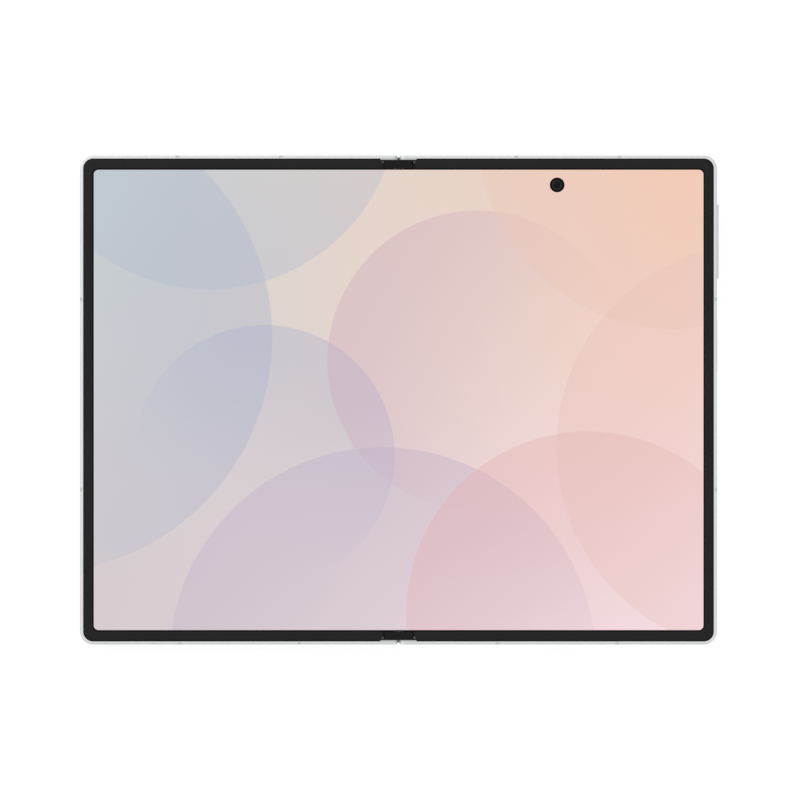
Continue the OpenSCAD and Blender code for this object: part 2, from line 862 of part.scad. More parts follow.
module camera_island() {
  lift() color("silver")
    difference() {
      union() {
        for (y = [island_y - island_l / 2 + island_w / 2, island_y + island_l / 2 - island_w / 2])
          translate([island_x, y, 0]) rotate_extrude($fn = 96) island_profile();
        along_y(island_y - island_l / 2 + island_w / 2, island_y + island_l / 2 - island_w / 2)
          translate([island_x, 0]) {
            island_profile();
            mirror([1, 0]) island_profile();
          }
        // Flange behind the glass
        up(z_bay, z_bay + 0.3)
          translate([island_x, island_y]) rotate(90) stadium(island_l + 1.6, island_w + 1.6);
      }
      for (y = cam_y)
        disc(island_x, y, ring_r + glue, -5, 5);
      disc(island_x, flash_y, flash_r + glue, -5, 5);
    }
}

module camera_rings() {
  lift() color("gainsboro")
    for (y = cam_y)
      translate([island_x, y, 0])
        rotate_extrude($fn = 96)
          difference() {
            translate([ring_in_r - 0.4, -bump_h]) square([ring_r - ring_in_r + 0.4, bump_h + z_bay]);
            translate([ring_r, -bump_h]) mirror([1, 0]) corner_cut(0.3);
            translate([ring_in_r - 1, -bump_h - 1]) square([1, 2]);
          }
}

module camera_lens_windows() {
  lift() color([0.15, 0.17, 0.2])
    for (y = cam_y)
      disc(island_x, y, ring_in_r - glue, -bump_h + 0.15, -bump_h + 1 - glue);
}

module camera_modules() {
  lift() color("dimgray")
    for (y = cam_y) {
      disc(island_x, y, ring_in_r - 0.4 - glue, -bump_h + 1, z_bay + 0.5);
      box(island_x - cam_box / 2, island_x + cam_box / 2, y - cam_box / 2, y + cam_box / 2,
        z_bay + 0.4, z_bay_top);
    }
}

module flash_lens() {
  lift() color("lightyellow")
    disc(island_x, flash_y, flash_r, -island_h, z_bay + 0.3);
}

module main_battery() {
  lift() color([0.2, 0.2, 0.22])
    pouch(battery_x, battery_x + battery_w, battery_y, battery_y + battery_h,
      z_bay + coil_t + 2 * glue, z_bay_top);
}

module charging_coil() {
  lift() color("peru")
    up(z_bay, z_bay + coil_t)
      translate([battery_x + battery_w / 2, battery_y + battery_h / 2])
        difference() {
          circle(coil_r, $fn = 96);
          circle(coil_r / 2, $fn = 96);
        }
}

// Arm of a circuit board that runs down the hinge side to the cables
module hinge_side_arm(y) {
  box(rib_edge + 0.4, battery_x - 1, -flex_y - flex_w / 2 - 1, y + 1, board_z, board_z + board_t);
}

module main_board() {
  lift() color("seagreen")
    difference() {
      union() {
        box(rib_edge + 0.4, bay_edge_x - 0.4, board_y, bay_edge_y - 0.4, board_z, board_z + board_t);
        hinge_side_arm(board_y);
      }
      for (y = cam_y)
        box(island_x - cam_box / 2 - 0.3, island_x + cam_box / 2 + 0.3, y - cam_box / 2 - 0.3,
          y + cam_box / 2 + 0.3, 0, body_t);
      box(inner_cam_x - 3.3, inner_cam_x + 3.3, inner_cam_y - 3.3, inner_cam_y + 3.3, 0, body_t);
      for (p = screw_xy)
        disc(p[0], p[1], boss_r + 0.2, 0, body_t);
      // Room for the key switches
      box(key_bracket_x - 0.4, half_w, power_y - power_l / 2 - 2, volume_y + volume_l / 2 + 2, 0,
        body_t);
    }
}

module flex_connectors() {
  for (s = [-1, 1])
    box(rib_edge + 0.5, rib_edge + 2, s * flex_y - flex_w / 2, s * flex_y + flex_w / 2,
      board_z + board_t, flex_z - eps);
}

module right_flex_connectors() {
  lift() color([0.15, 0.15, 0.15]) flex_connectors();
}

module shield_cans() {
  lift() color("silver") {
    for (x = [can_start_x, can_end_x - can_w])
      box(x, x + can_w, can_start_y, can_start_y + can_l, board_z + board_t, z_bay_top);
  }
}

module inner_camera() {
  lift() color("dimgray") {
    box(inner_cam_x - 3, inner_cam_x + 3, inner_cam_y - 3, inner_cam_y + 3, z_bay + 0.6, z_bay_top);
    disc(inner_cam_x, inner_cam_y, inner_cam_r, z_bay_top - 0.1, z_panel - 2 * glue);
  }
}

module inner_camera_window() {
  lift() color([0.1, 0.1, 0.12])
    disc(inner_cam_x, inner_cam_y, inner_cam_r - 0.02, z_panel - glue, z_panel_top);
}

module usb_c_shell() {
  lift() color("silver")
    along_y(usb_y, usb_y + usb_l)
      translate([usb_x, usb_z])
        difference() {
          stadium(usb_in_w + 2 * usb_wall, usb_in_h + 2 * usb_wall);
          stadium(usb_in_w, usb_in_h);
        }
}

module usb_c_tongue() {
  lift() color([0.15, 0.15, 0.15]) {
    box(usb_x - usb_tongue_w / 2, usb_x + usb_tongue_w / 2, usb_y + 0.6, usb_y + usb_l - 1,
      usb_z - usb_tongue_t / 2, usb_z + usb_tongue_t / 2);
    along_y(usb_y + usb_l - 1.2, usb_y + usb_l)
      translate([usb_x, usb_z]) stadium(usb_in_w, usb_in_h);
  }
}

module loudspeaker() {
  lift() color([0.2, 0.2, 0.2])
    up(z_bay + glue, z_bay_top)
      rounded_rect(speaker_box_x, bay_edge_x - 4.9, bottom_row_y, battery_y - 1, 0.8);
}

module vibration_motor() {
  lift() color("gray")
    up(z_bay + glue, z_bay_top)
      rounded_rect(battery_x + 0.5, battery_x + 0.5 + motor_w, bottom_row_y, battery_y - 1, 1);
}

module sim_reader() {
  lift() color("lightgray")
    difference() {
      box(sim_x - sim_plate_w / 2 - reader_wall, sim_x + sim_plate_w / 2 + reader_wall,
        -half_h + shelf_w + 0.1, -half_h + sim_face_t + sim_plate_l + 0.6, z_bay + glue, z_bay_top);
      box(sim_x - sim_plate_w / 2 - sim_gap, sim_x + sim_plate_w / 2 + sim_gap, -half_h,
        -half_h + sim_face_t + sim_plate_l + 0.2, sim_z - sim_plate_t / 2 - sim_gap,
        sim_z + sim_plate_t / 2 + sim_gap);
    }
}

module key_switches() {
  lift() color("gray") {
    box(key_bracket_x - 0.4, key_bracket_x, power_y - power_l / 2, volume_y + volume_l / 2,
      key_z - 0.9, z_midplate - shelf_t - glue);
    for (y = [volume_y - volume_l * 0.35, volume_y + volume_l * 0.35, power_y])
      box(key_bracket_x - eps, flange_x - key_travel, y - switch_w / 2, y + switch_w / 2,
        key_z - switch_h / 2, key_z + switch_h / 2);
    // Rest that the rocker tilts on
    box(key_bracket_x - eps, flange_x - glue, volume_y - 0.3, volume_y + 0.3,
      key_z - switch_h / 2, key_z + switch_h / 2);
  }
}

module key(y, l, out) {
  along_x(flange_x + flange_t - eps, half_w + out)
    translate([y, key_z]) stadium(l, key_h);
  box(flange_x, flange_x + flange_t, y - l / 2 - flange_extra, y + l / 2 + flange_extra,
    key_z - key_h / 2 - 0.2, key_z + key_h / 2 + 0.2);
}

module volume_rocker() {
  lift() color("gainsboro") key(volume_y, volume_l, volume_out);
}

module power_key() {
  lift() color("gainsboro") key(power_y, power_l, power_out);
}

module sim_tray() {
  lift() color("silver") {
    difference() {
      union() {
        box(sim_x - sim_face_w / 2, sim_x + sim_face_w / 2, -half_h, -half_h + sim_face_t,
          sim_z - sim_face_h / 2, sim_z + sim_face_h / 2);
        box(sim_x - sim_plate_w / 2, sim_x + sim_plate_w / 2, -half_h + sim_face_t - eps,
          -half_h + sim_face_t + sim_plate_l, sim_z - sim_plate_t / 2, sim_z + sim_plate_t / 2);
      }
      box(sim_x - sim_card_w / 2 - glue, sim_x + sim_card_w / 2 + glue, sim_card_y - glue,
        sim_card_y + sim_card_l + glue, sim_z + sim_plate_t / 2 - sim_card_t - glue, 10);
      rod_y(sim_pin_x, sim_z, 0.35, -half_h - 1, -half_h + sim_face_t + 1);
    }
  }
}

module sim_card() {
  lift() color("gold")
    box(sim_x - sim_card_w / 2, sim_x + sim_card_w / 2, sim_card_y, sim_card_y + sim_card_l,
      sim_z + sim_plate_t / 2 - sim_card_t, sim_z + sim_plate_t / 2);
}

module right_wing_plate() {
  lift() color("lightslategray") wing_plate();
}

// ---- Left half ----

module left_side() {
  mirror([1, 0, 0]) children();
}

module left_frame() {
  lift() color("gainsboro")
    left_side()
      difference() {
        frame_body(z_cover_bay, well_floor_t2);
        for (i = [-2 : 2])
          rod_y(earpiece_x + i * earpiece_pitch, z_bay_mid, small_hole_r, half_h - shelf_w - 1,
            half_h + 1);
        rod_y(earpiece_x, z_bay_mid, small_hole_r, -half_h - 1, -half_h + shelf_w + 1);
      }
}

module left_bezel() {
  lift() color([0.15, 0.15, 0.15]) left_side() bezel();
}

module inner_display_left() {
  lift() color([0.86, 0.85, 0.87]) left_side() display_half(false);
}

module left_midplate() {
  lift() color("slategray") left_side() midplate(false);
}

module left_screws() {
  lift() color("lightgray") left_side() midplate_screws();
}

module cover_glass() {
  lift() color([0.05, 0.05, 0.06])
    left_side()
      up(0, glass_t)
        half_outline(glass_start, half_w - rim_w - glue, half_h - rim_w - glue, corner_r - rim_w);
}

module cover_display() {
  lift() color([0.1, 0.1, 0.12])
    left_side()
      up(z_bay, z_bay + cover_panel_t)
        difference() {
          half_outline(glass_start + 1.6, bay_edge_x - 0.4, bay_edge_y - 0.4, 1.5);
          translate([earpiece_x, cover_cam_y]) circle(cover_cam_r + glue);
        }
}

module cover_camera() {
  lift() color("dimgray")
    left_side() {
      disc(earpiece_x, cover_cam_y, cover_cam_r, z_bay, z_cover_bay + 0.5);
      box(earpiece_x - 2.5, earpiece_x + 2.5, cover_cam_y - 2.5, cover_cam_y + 2.5,
        z_cover_bay + glue, z_bay_top);
    }
}

module left_antenna_bands() {
  lift() color("lightgray") left_side() antenna_bands();
}

module left_hinge_pins() {
  lift() color("silver") left_side() hinge_pins();
}

module left_main_gears() {
  lift() color("darkgray")
    gear_pair(-axis_x, z_axis, left_main_phase, pin_r);
}

module left_magnets() {
  lift() color("dimgray") left_side() magnets();
}

module second_battery() {
  lift() color([0.2, 0.2, 0.22])
    left_side()
      pouch(battery_x, battery_x + battery2_w, battery_y, battery_y + battery2_h,
        z_cover_bay + glue, z_bay_top);
}

module second_board() {
  lift() color("seagreen")
    left_side()
      difference() {
        union() {
          box(rib_edge + 0.4, bay_edge_x - 0.4, board2_y, bay_edge_y - 0.4, board_z, board_z + board_t);
          hinge_side_arm(board2_y);
        }
        for (p = screw_xy)
          disc(p[0], p[1], boss_r + 0.2, 0, body_t);
        box(earpiece_x - 8, earpiece_x + 8, cover_cam_y - 3.2, half_h, 0, body_t);
      }
}

module earpiece_speaker() {
  lift() color([0.2, 0.2, 0.2])
    left_side() {
      box(earpiece_x - 7.5, earpiece_x - 3, cover_cam_y - 2.5, bay_edge_y - 1.2,
        z_cover_bay + glue, z_bay_top);
    }
}

module left_flex_connectors() {
  lift() color([0.15, 0.15, 0.15]) left_side() flex_connectors();
}

module left_wing_plate() {
  lift() color("lightslategray") left_side() wing_plate();
}

spine_cover();
hinge_brackets();
idler_shafts();
display_rail();
rail_screws();
hinge_end_caps();
inner_display_fold();
hinge_flex_cables();
right_idler_gears();
left_idler_gears();
right_frame();
right_bezel();
inner_display_right();
right_midplate();
right_screws();
right_back_glass();
right_antenna_bands();
right_hinge_pins();
right_main_gears();
right_magnets();
camera_island();
camera_rings();
camera_lens_windows();
camera_modules();
flash_lens();
main_battery();
charging_coil();
main_board();
shield_cans();
inner_camera();
inner_camera_window();
right_flex_connectors();
usb_c_shell();
usb_c_tongue();
loudspeaker();
vibration_motor();
sim_reader();
key_switches();
right_wing_plate();
volume_rocker();
power_key();
sim_tray();
sim_card();
left_frame();
left_bezel();
inner_display_left();
left_midplate();
left_screws();
cover_glass();
cover_display();
cover_camera();
left_antenna_bands();
left_hinge_pins();
left_main_gears();
left_magnets();
second_battery();
second_board();
earpiece_speaker();
left_flex_connectors();
left_wing_plate();
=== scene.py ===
import json
import math

import bmesh
import bpy
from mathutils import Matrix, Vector
from mathutils.geometry import delaunay_2d_cdt


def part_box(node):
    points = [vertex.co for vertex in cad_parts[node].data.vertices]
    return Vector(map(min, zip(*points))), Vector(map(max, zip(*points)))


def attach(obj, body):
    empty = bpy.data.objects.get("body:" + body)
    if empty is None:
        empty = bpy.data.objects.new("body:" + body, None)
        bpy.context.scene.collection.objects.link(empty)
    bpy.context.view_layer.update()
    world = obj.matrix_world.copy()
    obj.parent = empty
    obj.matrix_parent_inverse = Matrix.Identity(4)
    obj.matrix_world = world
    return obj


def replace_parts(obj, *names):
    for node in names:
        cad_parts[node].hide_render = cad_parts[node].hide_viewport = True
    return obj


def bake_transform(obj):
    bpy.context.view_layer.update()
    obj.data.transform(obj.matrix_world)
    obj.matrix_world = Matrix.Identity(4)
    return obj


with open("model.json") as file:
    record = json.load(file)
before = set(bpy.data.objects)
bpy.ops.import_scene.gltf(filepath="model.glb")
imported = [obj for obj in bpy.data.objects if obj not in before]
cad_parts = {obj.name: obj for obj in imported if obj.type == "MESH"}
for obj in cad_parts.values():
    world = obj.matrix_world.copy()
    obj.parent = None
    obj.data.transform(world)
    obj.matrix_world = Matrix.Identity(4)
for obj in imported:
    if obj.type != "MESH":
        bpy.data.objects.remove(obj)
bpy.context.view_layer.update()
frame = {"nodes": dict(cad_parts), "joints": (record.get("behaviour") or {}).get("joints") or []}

NODES = frame["nodes"]

# ---- Sizes and places ----

# Lengths are in millimetres and heights are over the back face, as in the part's source, unless a
# comment says otherwise.
MM = 0.001
BACK_Z = round(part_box("right_back_glass")[0].z / MM, 3)  # the back face over the origin


def node_box(node):
    """A CAD node's lowest and highest corners."""
    return [[round(c / MM - up, 3) for c, up in zip(corner, (0, 0, BACK_Z))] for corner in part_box(node)]


def middle(node):
    """A CAD node's centre, to a hundredth of a millimetre."""
    return [round((a + b) / 2, 2) for a, b in zip(*node_box(node))]


def row_of(count, at, pitch):
    """Places of count things in a row, even about its middle."""
    return [at + (i - (count - 1) / 2) * pitch for i in range(count)]


BODY_T = node_box("right_frame")[1][2]
FOLD = next(joint for joint in frame["joints"] if joint["name"] == "fold_right")["pos_m"]
AXIS_X, AXIS_Z = round(FOLD[0] / MM, 3), round(FOLD[2] / MM - BACK_Z, 3)

# Folding screen. Its middle strip is cut into columns
(FOLD_STRIP, _, PANEL_Z0), (PANEL_X, PANEL_Y, PANEL_Z1) = node_box("inner_display_right")
PANEL_R, BEZEL_LAP, STRIP_STEPS = 1.45, 0.6, 32
VIEW_X, VIEW_Y = PANEL_X - BEZEL_LAP, PANEL_Y - BEZEL_LAP  # what shows inside the bezel
PICTURE_X, PICTURE_Y, PICTURE_R = VIEW_X - 0.3, VIEW_Y - 0.33, 1.2
PICTURE_AT = (0.03, 0.02)  # the picture's middle, a little off the phone's
BEND_END, BEND_STEPS = 7.0, 24  # the flex cables are cut into this many columns up to here from the fold
CREASE, CREASE_W = 0.04, 2.4  # depth of the soft crease at the fold, and how fast it fades
CAM_X, CAM_Y, _ = middle("inner_camera")
CAM_R, CAM_RIM = 1.82, 0.05  # the hole, and the black rim round it

# Dark stretches of the frame: the gasket line round the bezel, which is also painted shade of the gap
# beside it, and the hinge's ends, painted dark inside, which is also painted shade in the gaps there
GASKET_SHADE_W, GASKET_SHADE_MORE_Y, GASKET_SHADE_Z = 0.1, 0.05, 3.85
PAINT_SHADE_X, PAINT_SHADE_Y, PAINT_SHADE_Z = 4.6, 60.85, 0.7
# Painted shade: near the hinge the frame darkens from its outer ends inwards, between these two distances
# and by this much at most
END_SHADE_Y0, END_SHADE_Y1, END_SHADE = 60.9, 61.5, 0.45
# Painted highlight: the ears' tops, from here outwards and above this height, are lighter grey
EAR_Y, EAR_Z = 59.92, 4.325
# The spine is painted dark, as painted shade, inside this radius and length, and from this height up
SPINE_DARK_R, SPINE_DARK_Y, SPINE_DARK_Z = 2.52, 60.64, 3.1

# Glass of the backs, which the bezels' outer edges also follow
(GLASS_INNER_X, _, _), (GLASS_X, GLASS_Y, _) = node_box("right_back_glass")
GLASS_R = 2.45
COVER_CAM_X, COVER_CAM_Y, _ = middle("cover_camera")
COVER_SPOT_R = 1.75
COVER_PANEL_AT, COVER_PANEL_X, COVER_PANEL_Y, COVER_PANEL_R = -42.4, 35.4, 59.0, 2.2

# Rear cameras: square modules in a row, with the flash below them
MODULES = node_box("camera_modules")
MODULE_HALF = (MODULES[1][0] - MODULES[0][0]) / 2
ISLAND_X, FLASH_Y, _ = middle("flash_lens")
LENS_Y = (MODULES[1][1] - MODULE_HALF, MODULES[0][1] + MODULE_HALF)

# Flex cables, and the black seals at the spine's ends, which are painted shade in the slit between the
# halves
(_, _, FLEX_Z0), (FLEX_END, FLEX_TOP, FLEX_Z1) = node_box("hinge_flex_cables")
FLEX_W = 8.0
SHADE_FIN_W, SHADE_FIN_Y0, SHADE_FIN_Y1, SHADE_FIN_Z0, SHADE_FIN_Z1 = 0.18, 60.72, 61.45, 2.7, 3.2

# Socket contacts, and the dust meshes behind the sound holes
USB_X, _, USB_Z = middle("usb_c_tongue")
CONTACTS, CONTACT_PITCH, CONTACT_W, CONTACT_T, CONTACT_UP = 12, 0.5, 0.26, 0.06, 0.35
CONTACT_Y0, CONTACT_Y1 = -60.6, -56.6
HOLE_Z, HOLE_Y0, HOLE_Y1 = 2.125, 61.0, 61.2
SPEAKER_XS = row_of(6, 64.5, 2.2)
EARPIECE_XS = row_of(5, COVER_CAM_X, 1.8)
BOTTOM_MIC_X, TOP_MIC_X, LEFT_MIC_X = 30.17, 38.67, -42.0
SPEAKER_HALF, MIC_HALF = 0.7, 0.5

SHARP = math.radians(35)  # an edge sharper than this isn't shaded smooth
WELD = 1e-7  # points closer than this, in metres, become one
INSIDE = 2  # asks the triangulation for the triangles inside the outer outline


# ---- Meshes ----

def finish_mesh(bm, name, material, body, side=1):
    """Turns millimetres over the back face into the frame's metres, and hangs the piece on its body."""
    for v in bm.verts:
        v.co = Vector((v.co.x * side * MM, v.co.y * MM, (v.co.z + BACK_Z) * MM))
    bmesh.ops.remove_doubles(bm, verts=bm.verts, dist=WELD)
    bmesh.ops.recalc_face_normals(bm, faces=bm.faces)
    mesh = bpy.data.meshes.new(name)
    bm.to_mesh(mesh)
    bm.free()
    for p in mesh.polygons:
        p.use_smooth = True
    mesh.set_sharp_from_angle(angle=SHARP)
    mesh.materials.append(material)
    piece = bpy.data.objects.new(name, mesh)
    bpy.context.scene.collection.objects.link(piece)
    if body:
        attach(piece, body)
    return piece


def add_rows(bm, rows, closed_rows=True, loop=False, caps=True):
    """Joins rows of points with quads. A row is a closed outline unless closed_rows is off."""
    made = [[bm.verts.new(p) for p in row] for row in rows]
    count = len(made[0])
    pairs = list(zip(made, made[1:])) + ([(made[-1], made[0])] if loop else [])
    for a, b in pairs:
        for i in range(count if closed_rows else count - 1):
            j = (i + 1) % count
            bm.faces.new((a[i], a[j], b[j], b[i]))
    if caps and not loop:
        bm.faces.new(made[0])
        bm.faces.new(list(reversed(made[-1])))
    return made


def arc(cx, cy, r, a0, a1, n):
    """Points on an arc in degrees, both ends included."""
    return [(cx + r * math.cos(math.radians(a0 + (a1 - a0) * i / n)),
             cy + r * math.sin(math.radians(a0 + (a1 - a0) * i / n))) for i in range(n + 1)]


def half_path(x0, x1, y, r, n=12):
    """From the hinge along the bottom edge of a half, round its outer corners and back along the top."""
    return ([(x0, -y)] + arc(x1 - r, -y + r, r, -90, 0, n) + arc(x1 - r, y - r, r, 0, 90, n)
            + [(x0, y)])


def circle(cx, cy, r, n=64):
    return arc(cx, cy, r, 0, 360 * (n - 1) / n, n - 1)


def crossings(x, y, loop):
    """How often a line from a point towards +x meets an outline. Odd inside it."""
    met = 0
    for (x0, y0), (x1, y1) in zip(loop, loop[1:] + loop[:1]):
        if (y0 > y) != (y1 > y) and x < x0 + (x1 - x0) * (y - y0) / (y1 - y0):
            met += 1
    return met


def cap_faces(bm, loops, z):
    """A flat face at height z between the first outline and the holes in it."""
    points, edges = [], []
    for loop in loops:
        first = len(points)
        points += [Vector(p) for p in loop]
        edges += [(first + i, first + (i + 1) % len(loop)) for i in range(len(loop))]
    got, _, faces, _, _, _ = delaunay_2d_cdt(points, edges, [], INSIDE, 1e-6)
    verts = [bm.verts.new((p.x, p.y, z)) for p in got]
    for f in faces:
        x, y = (sum(got[i][k] for i in f) / len(f) for k in (0, 1))
        if sum(crossings(x, y, loop) for loop in loops) % 2:
            bm.faces.new([verts[i] for i in f])


def plate(name, outlines, rings, material, body, side=1):
    """A plate with rounded edges. Each outline(d) is moved d into the plate, and rings are (d, z)."""
    bm = bmesh.new()
    for outline in outlines:
        add_rows(bm, [[(x, y, z) for x, y in outline(d)] for d, z in rings], caps=False)
    for d, z in (rings[0], rings[-1]):
        cap_faces(bm, [outline(d) for outline in outlines], z)
    return finish_mesh(bm, name, material, body, side)


def lathe(bm, cx, cy, profile, n=64):
    """Turns a closed (radius, height) outline round an upright axis. On the axis it closes to a pole."""
    rows = []
    for i in range(n):
        a = 2 * math.pi * i / n
        rows.append([(cx + r * math.cos(a), cy + r * math.sin(a), z) for r, z in profile])
    on_axis = profile[0][0] == 0 and profile[-1][0] == 0
    add_rows(bm, rows, closed_rows=not on_axis, loop=True, caps=False)


def turned(name, cx, cy, profile, material, body, n=64):
    """One lathed piece."""
    bm = bmesh.new()
    lathe(bm, cx, cy, profile, n)
    return finish_mesh(bm, name, material, body)


def soft_box(bm, x0, x1, y0, y1, z0, z1, bevel):
    """A block with bevelled edges."""
    made = bmesh.ops.create_cube(bm, size=1)
    for v in made["verts"]:
        v.co = Vector((x0 + (v.co.x + 0.5) * (x1 - x0), y0 + (v.co.y + 0.5) * (y1 - y0),
                       z0 + (v.co.z + 0.5) * (z1 - z0)))
    edges = list({e for v in made["verts"] for e in v.link_edges})
    bmesh.ops.bevel(bm, geom=edges, offset=bevel, segments=1, affect="EDGES", profile=0.5)


# ---- Materials ----

# Patterns and bumps are in metres, except where a look takes place_in_mm or rest_place, and the scale
# of a noise is per metre.

def rgb(r, g, b):
    """Linear colour from 8-bit display values."""
    def linear(c):
        c /= 255
        return c / 12.92 if c <= 0.04045 else ((c + 0.055) / 1.055) ** 2.4
    return tuple(linear(c) for c in (r, g, b))


class Tree:
    """A node tree, with short calls for the nodes that it needs."""

    def __init__(self, tree):
        self.nodes, self.links = tree.nodes, tree.links

    def add(self, kind, **settings):
        node = self.nodes.new("ShaderNode" + kind)
        for key, value in settings.items():
            setattr(node, key, value)
        return node

    def put(self, value, socket):
        """Links a socket to another, or sets its value."""
        if isinstance(value, bpy.types.NodeSocket):
            self.links.new(value, socket)
        elif isinstance(value, tuple) and socket.type == "RGBA":
            socket.default_value = (*value[:3], 1)
        else:
            socket.default_value = value

    def math(self, operation, a, b=0.0):
        node = self.add("Math", operation=operation)
        for value, socket in zip((a, b), node.inputs):
            self.put(value, socket)
        return node.outputs[0]

    def vector(self, operation, a, b=(0, 0, 0)):
        node = self.add("VectorMath", operation=operation)
        for value, socket in zip((a, b), node.inputs):
            self.put(value, socket)
        return node.outputs["Value" if operation in ("LENGTH", "DISTANCE", "DOT_PRODUCT") else "Vector"]

    def split(self, vector):
        node = self.add("SeparateXYZ")
        self.put(vector, node.inputs[0])
        return node.outputs

    def join(self, x, y, z=0.0):
        node = self.add("CombineXYZ")
        for value, socket in zip((x, y, z), node.inputs):
            self.put(value, socket)
        return node.outputs[0]

    def ramp(self, value, low, high, to_low=0.0, to_high=1.0, kind="LINEAR"):
        node = self.add("MapRange", interpolation_type=kind)
        for key, v in (("Value", value), ("From Min", low), ("From Max", high), ("To Min", to_low),
                       ("To Max", to_high)):
            self.put(v, node.inputs[key])
        return node.outputs[0]

    def smooth(self, value, low, high, to_low=0.0, to_high=1.0):
        return self.ramp(value, low, high, to_low, to_high, "SMOOTHSTEP")

    def over(self, value, at, soft=0.02):
        """1 where value is more than at and 0 where it is less, with a soft edge."""
        return self.smooth(value, at - soft, at + soft)

    def under(self, value, at, soft=0.02):
        return self.smooth(value, at + soft, at - soft)

    def both(self, a, b):
        return self.math("MULTIPLY", a, b)

    def either(self, a, b):
        return self.math("MAXIMUM", a, b)

    def mix(self, fac, a, b):
        node = self.add("Mix", data_type="RGBA", blend_type="MIX")
        for name, kind, value in (("Factor", "VALUE", fac), ("A", "RGBA", a), ("B", "RGBA", b)):
            self.put(value, next(s for s in node.inputs if s.name == name and s.type == kind))
        return next(s for s in node.outputs if s.type == "RGBA")

    def past_corner(self, x, y, half_x, half_y, corner):
        """Distance from a rounded rectangle's corner centres: less than corner inside it."""
        dx = self.math("SUBTRACT", self.math("ABSOLUTE", x), half_x - corner)
        dy = self.math("SUBTRACT", self.math("ABSOLUTE", y), half_y - corner)
        past = [self.math("MAXIMUM", d, 0.0) for d in (dx, dy)]
        return self.vector("LENGTH", self.join(*past))


class Look(Tree):
    """One material, with its Principled shader and the point that is shaded."""

    def __init__(self, name, color, rough=0.4, metal=0.0, **sockets):
        self.material = bpy.data.materials.new(name)
        self.material.use_nodes = True
        super().__init__(self.material.node_tree)
        self.bsdf = self.nodes["Principled BSDF"]
        self.bsdf.inputs["Base Color"].default_value = (*color, 1)
        self.bsdf.inputs["Roughness"].default_value = rough
        self.bsdf.inputs["Metallic"].default_value = metal
        for key, value in sockets.items():
            self.bsdf.inputs[key.replace("_", " ")].default_value = value
        self.place = self.add("TexCoord").outputs["Object"]

    def place_in_mm(self):
        """The point as x, y and height over the back face, in millimetres."""
        x, y, z = self.split(self.vector("MULTIPLY", self.place, (1 / MM, 1 / MM, 1 / MM)))
        return x, y, self.math("SUBTRACT", z, BACK_Z)

    def rest_place(self):
        """Where the point lies when the phone is open, in millimetres, on pieces that bend."""
        return self.split(self.add("Attribute", attribute_name="rest").outputs["Vector"])

    def noise(self, scale, detail=3.0, stretch=None, distortion=0.0):
        node = self.add("TexNoise")
        node.inputs["Scale"].default_value = scale
        node.inputs["Detail"].default_value = detail
        node.inputs["Distortion"].default_value = distortion
        self.put(self.vector("MULTIPLY", self.place, stretch) if stretch else self.place,
                 node.inputs["Vector"])
        return node.outputs["Fac"]

    def cell_edges(self, scale):
        node = self.add("TexVoronoi", feature="DISTANCE_TO_EDGE")
        node.inputs["Scale"].default_value = scale
        self.put(self.place, node.inputs["Vector"])
        return node.outputs["Distance"]

    def stripes(self, value, pitch, share=0.5):
        """1 on a share of each pitch, in the value's own unit, and 0 between, with soft edges."""
        phase = self.math("FRACT", self.math("DIVIDE", value, pitch))
        away = self.math("ABSOLUTE", self.math("SUBTRACT", phase, 0.5))
        return self.under(away, share / 2, 0.06)

    def bump(self, height, distance):
        """Raises the surface by distance, in metres, where height is 1."""
        node = self.add("Bump")
        node.inputs["Strength"].default_value = 1.0
        node.inputs["Distance"].default_value = distance
        self.put(height, node.inputs["Height"])
        self.put(node.outputs[0], self.bsdf.inputs["Normal"])
        return self

    def rough(self, fac, low, high):
        self.put(self.smooth(fac, 0.3, 0.7, low, high), self.bsdf.inputs["Roughness"])
        return self

    def tint(self, fac, a, b):
        self.put(self.mix(fac, a, b), self.bsdf.inputs["Base Color"])
        return self

    def paint(self, where, color):
        """Lays a dark colour over a metal, as a coat that is also painted shade. where is 1 on it."""
        metal = self.bsdf.inputs["Base Color"].links[0].from_socket
        self.put(self.mix(where, metal, color), self.bsdf.inputs["Base Color"])
        self.put(self.math("SUBTRACT", 1.0, where), self.bsdf.inputs["Metallic"])
        self.bsdf.inputs["Specular IOR Level"].default_value = 0.2
        return self


def grained(name, color, rough, metal=0.0, grain=9000, depth=2e-6, shade=0.06, stretch=None, **sockets):
    """A surface with fine grain: slow cloudy changes of colour and gloss, and a small even bump."""
    look = Look(name, color, rough, metal, **sockets)
    cloud = look.noise(60, 4.0)
    look.tint(look.smooth(cloud, 0.3, 0.7), tuple(c * (1 - shade) for c in color), color)
    look.rough(look.noise(grain * 0.3, 2.0, stretch), rough * 0.86, rough * 1.14)
    look.bump(look.noise(grain, 2.0, stretch), depth)
    return look


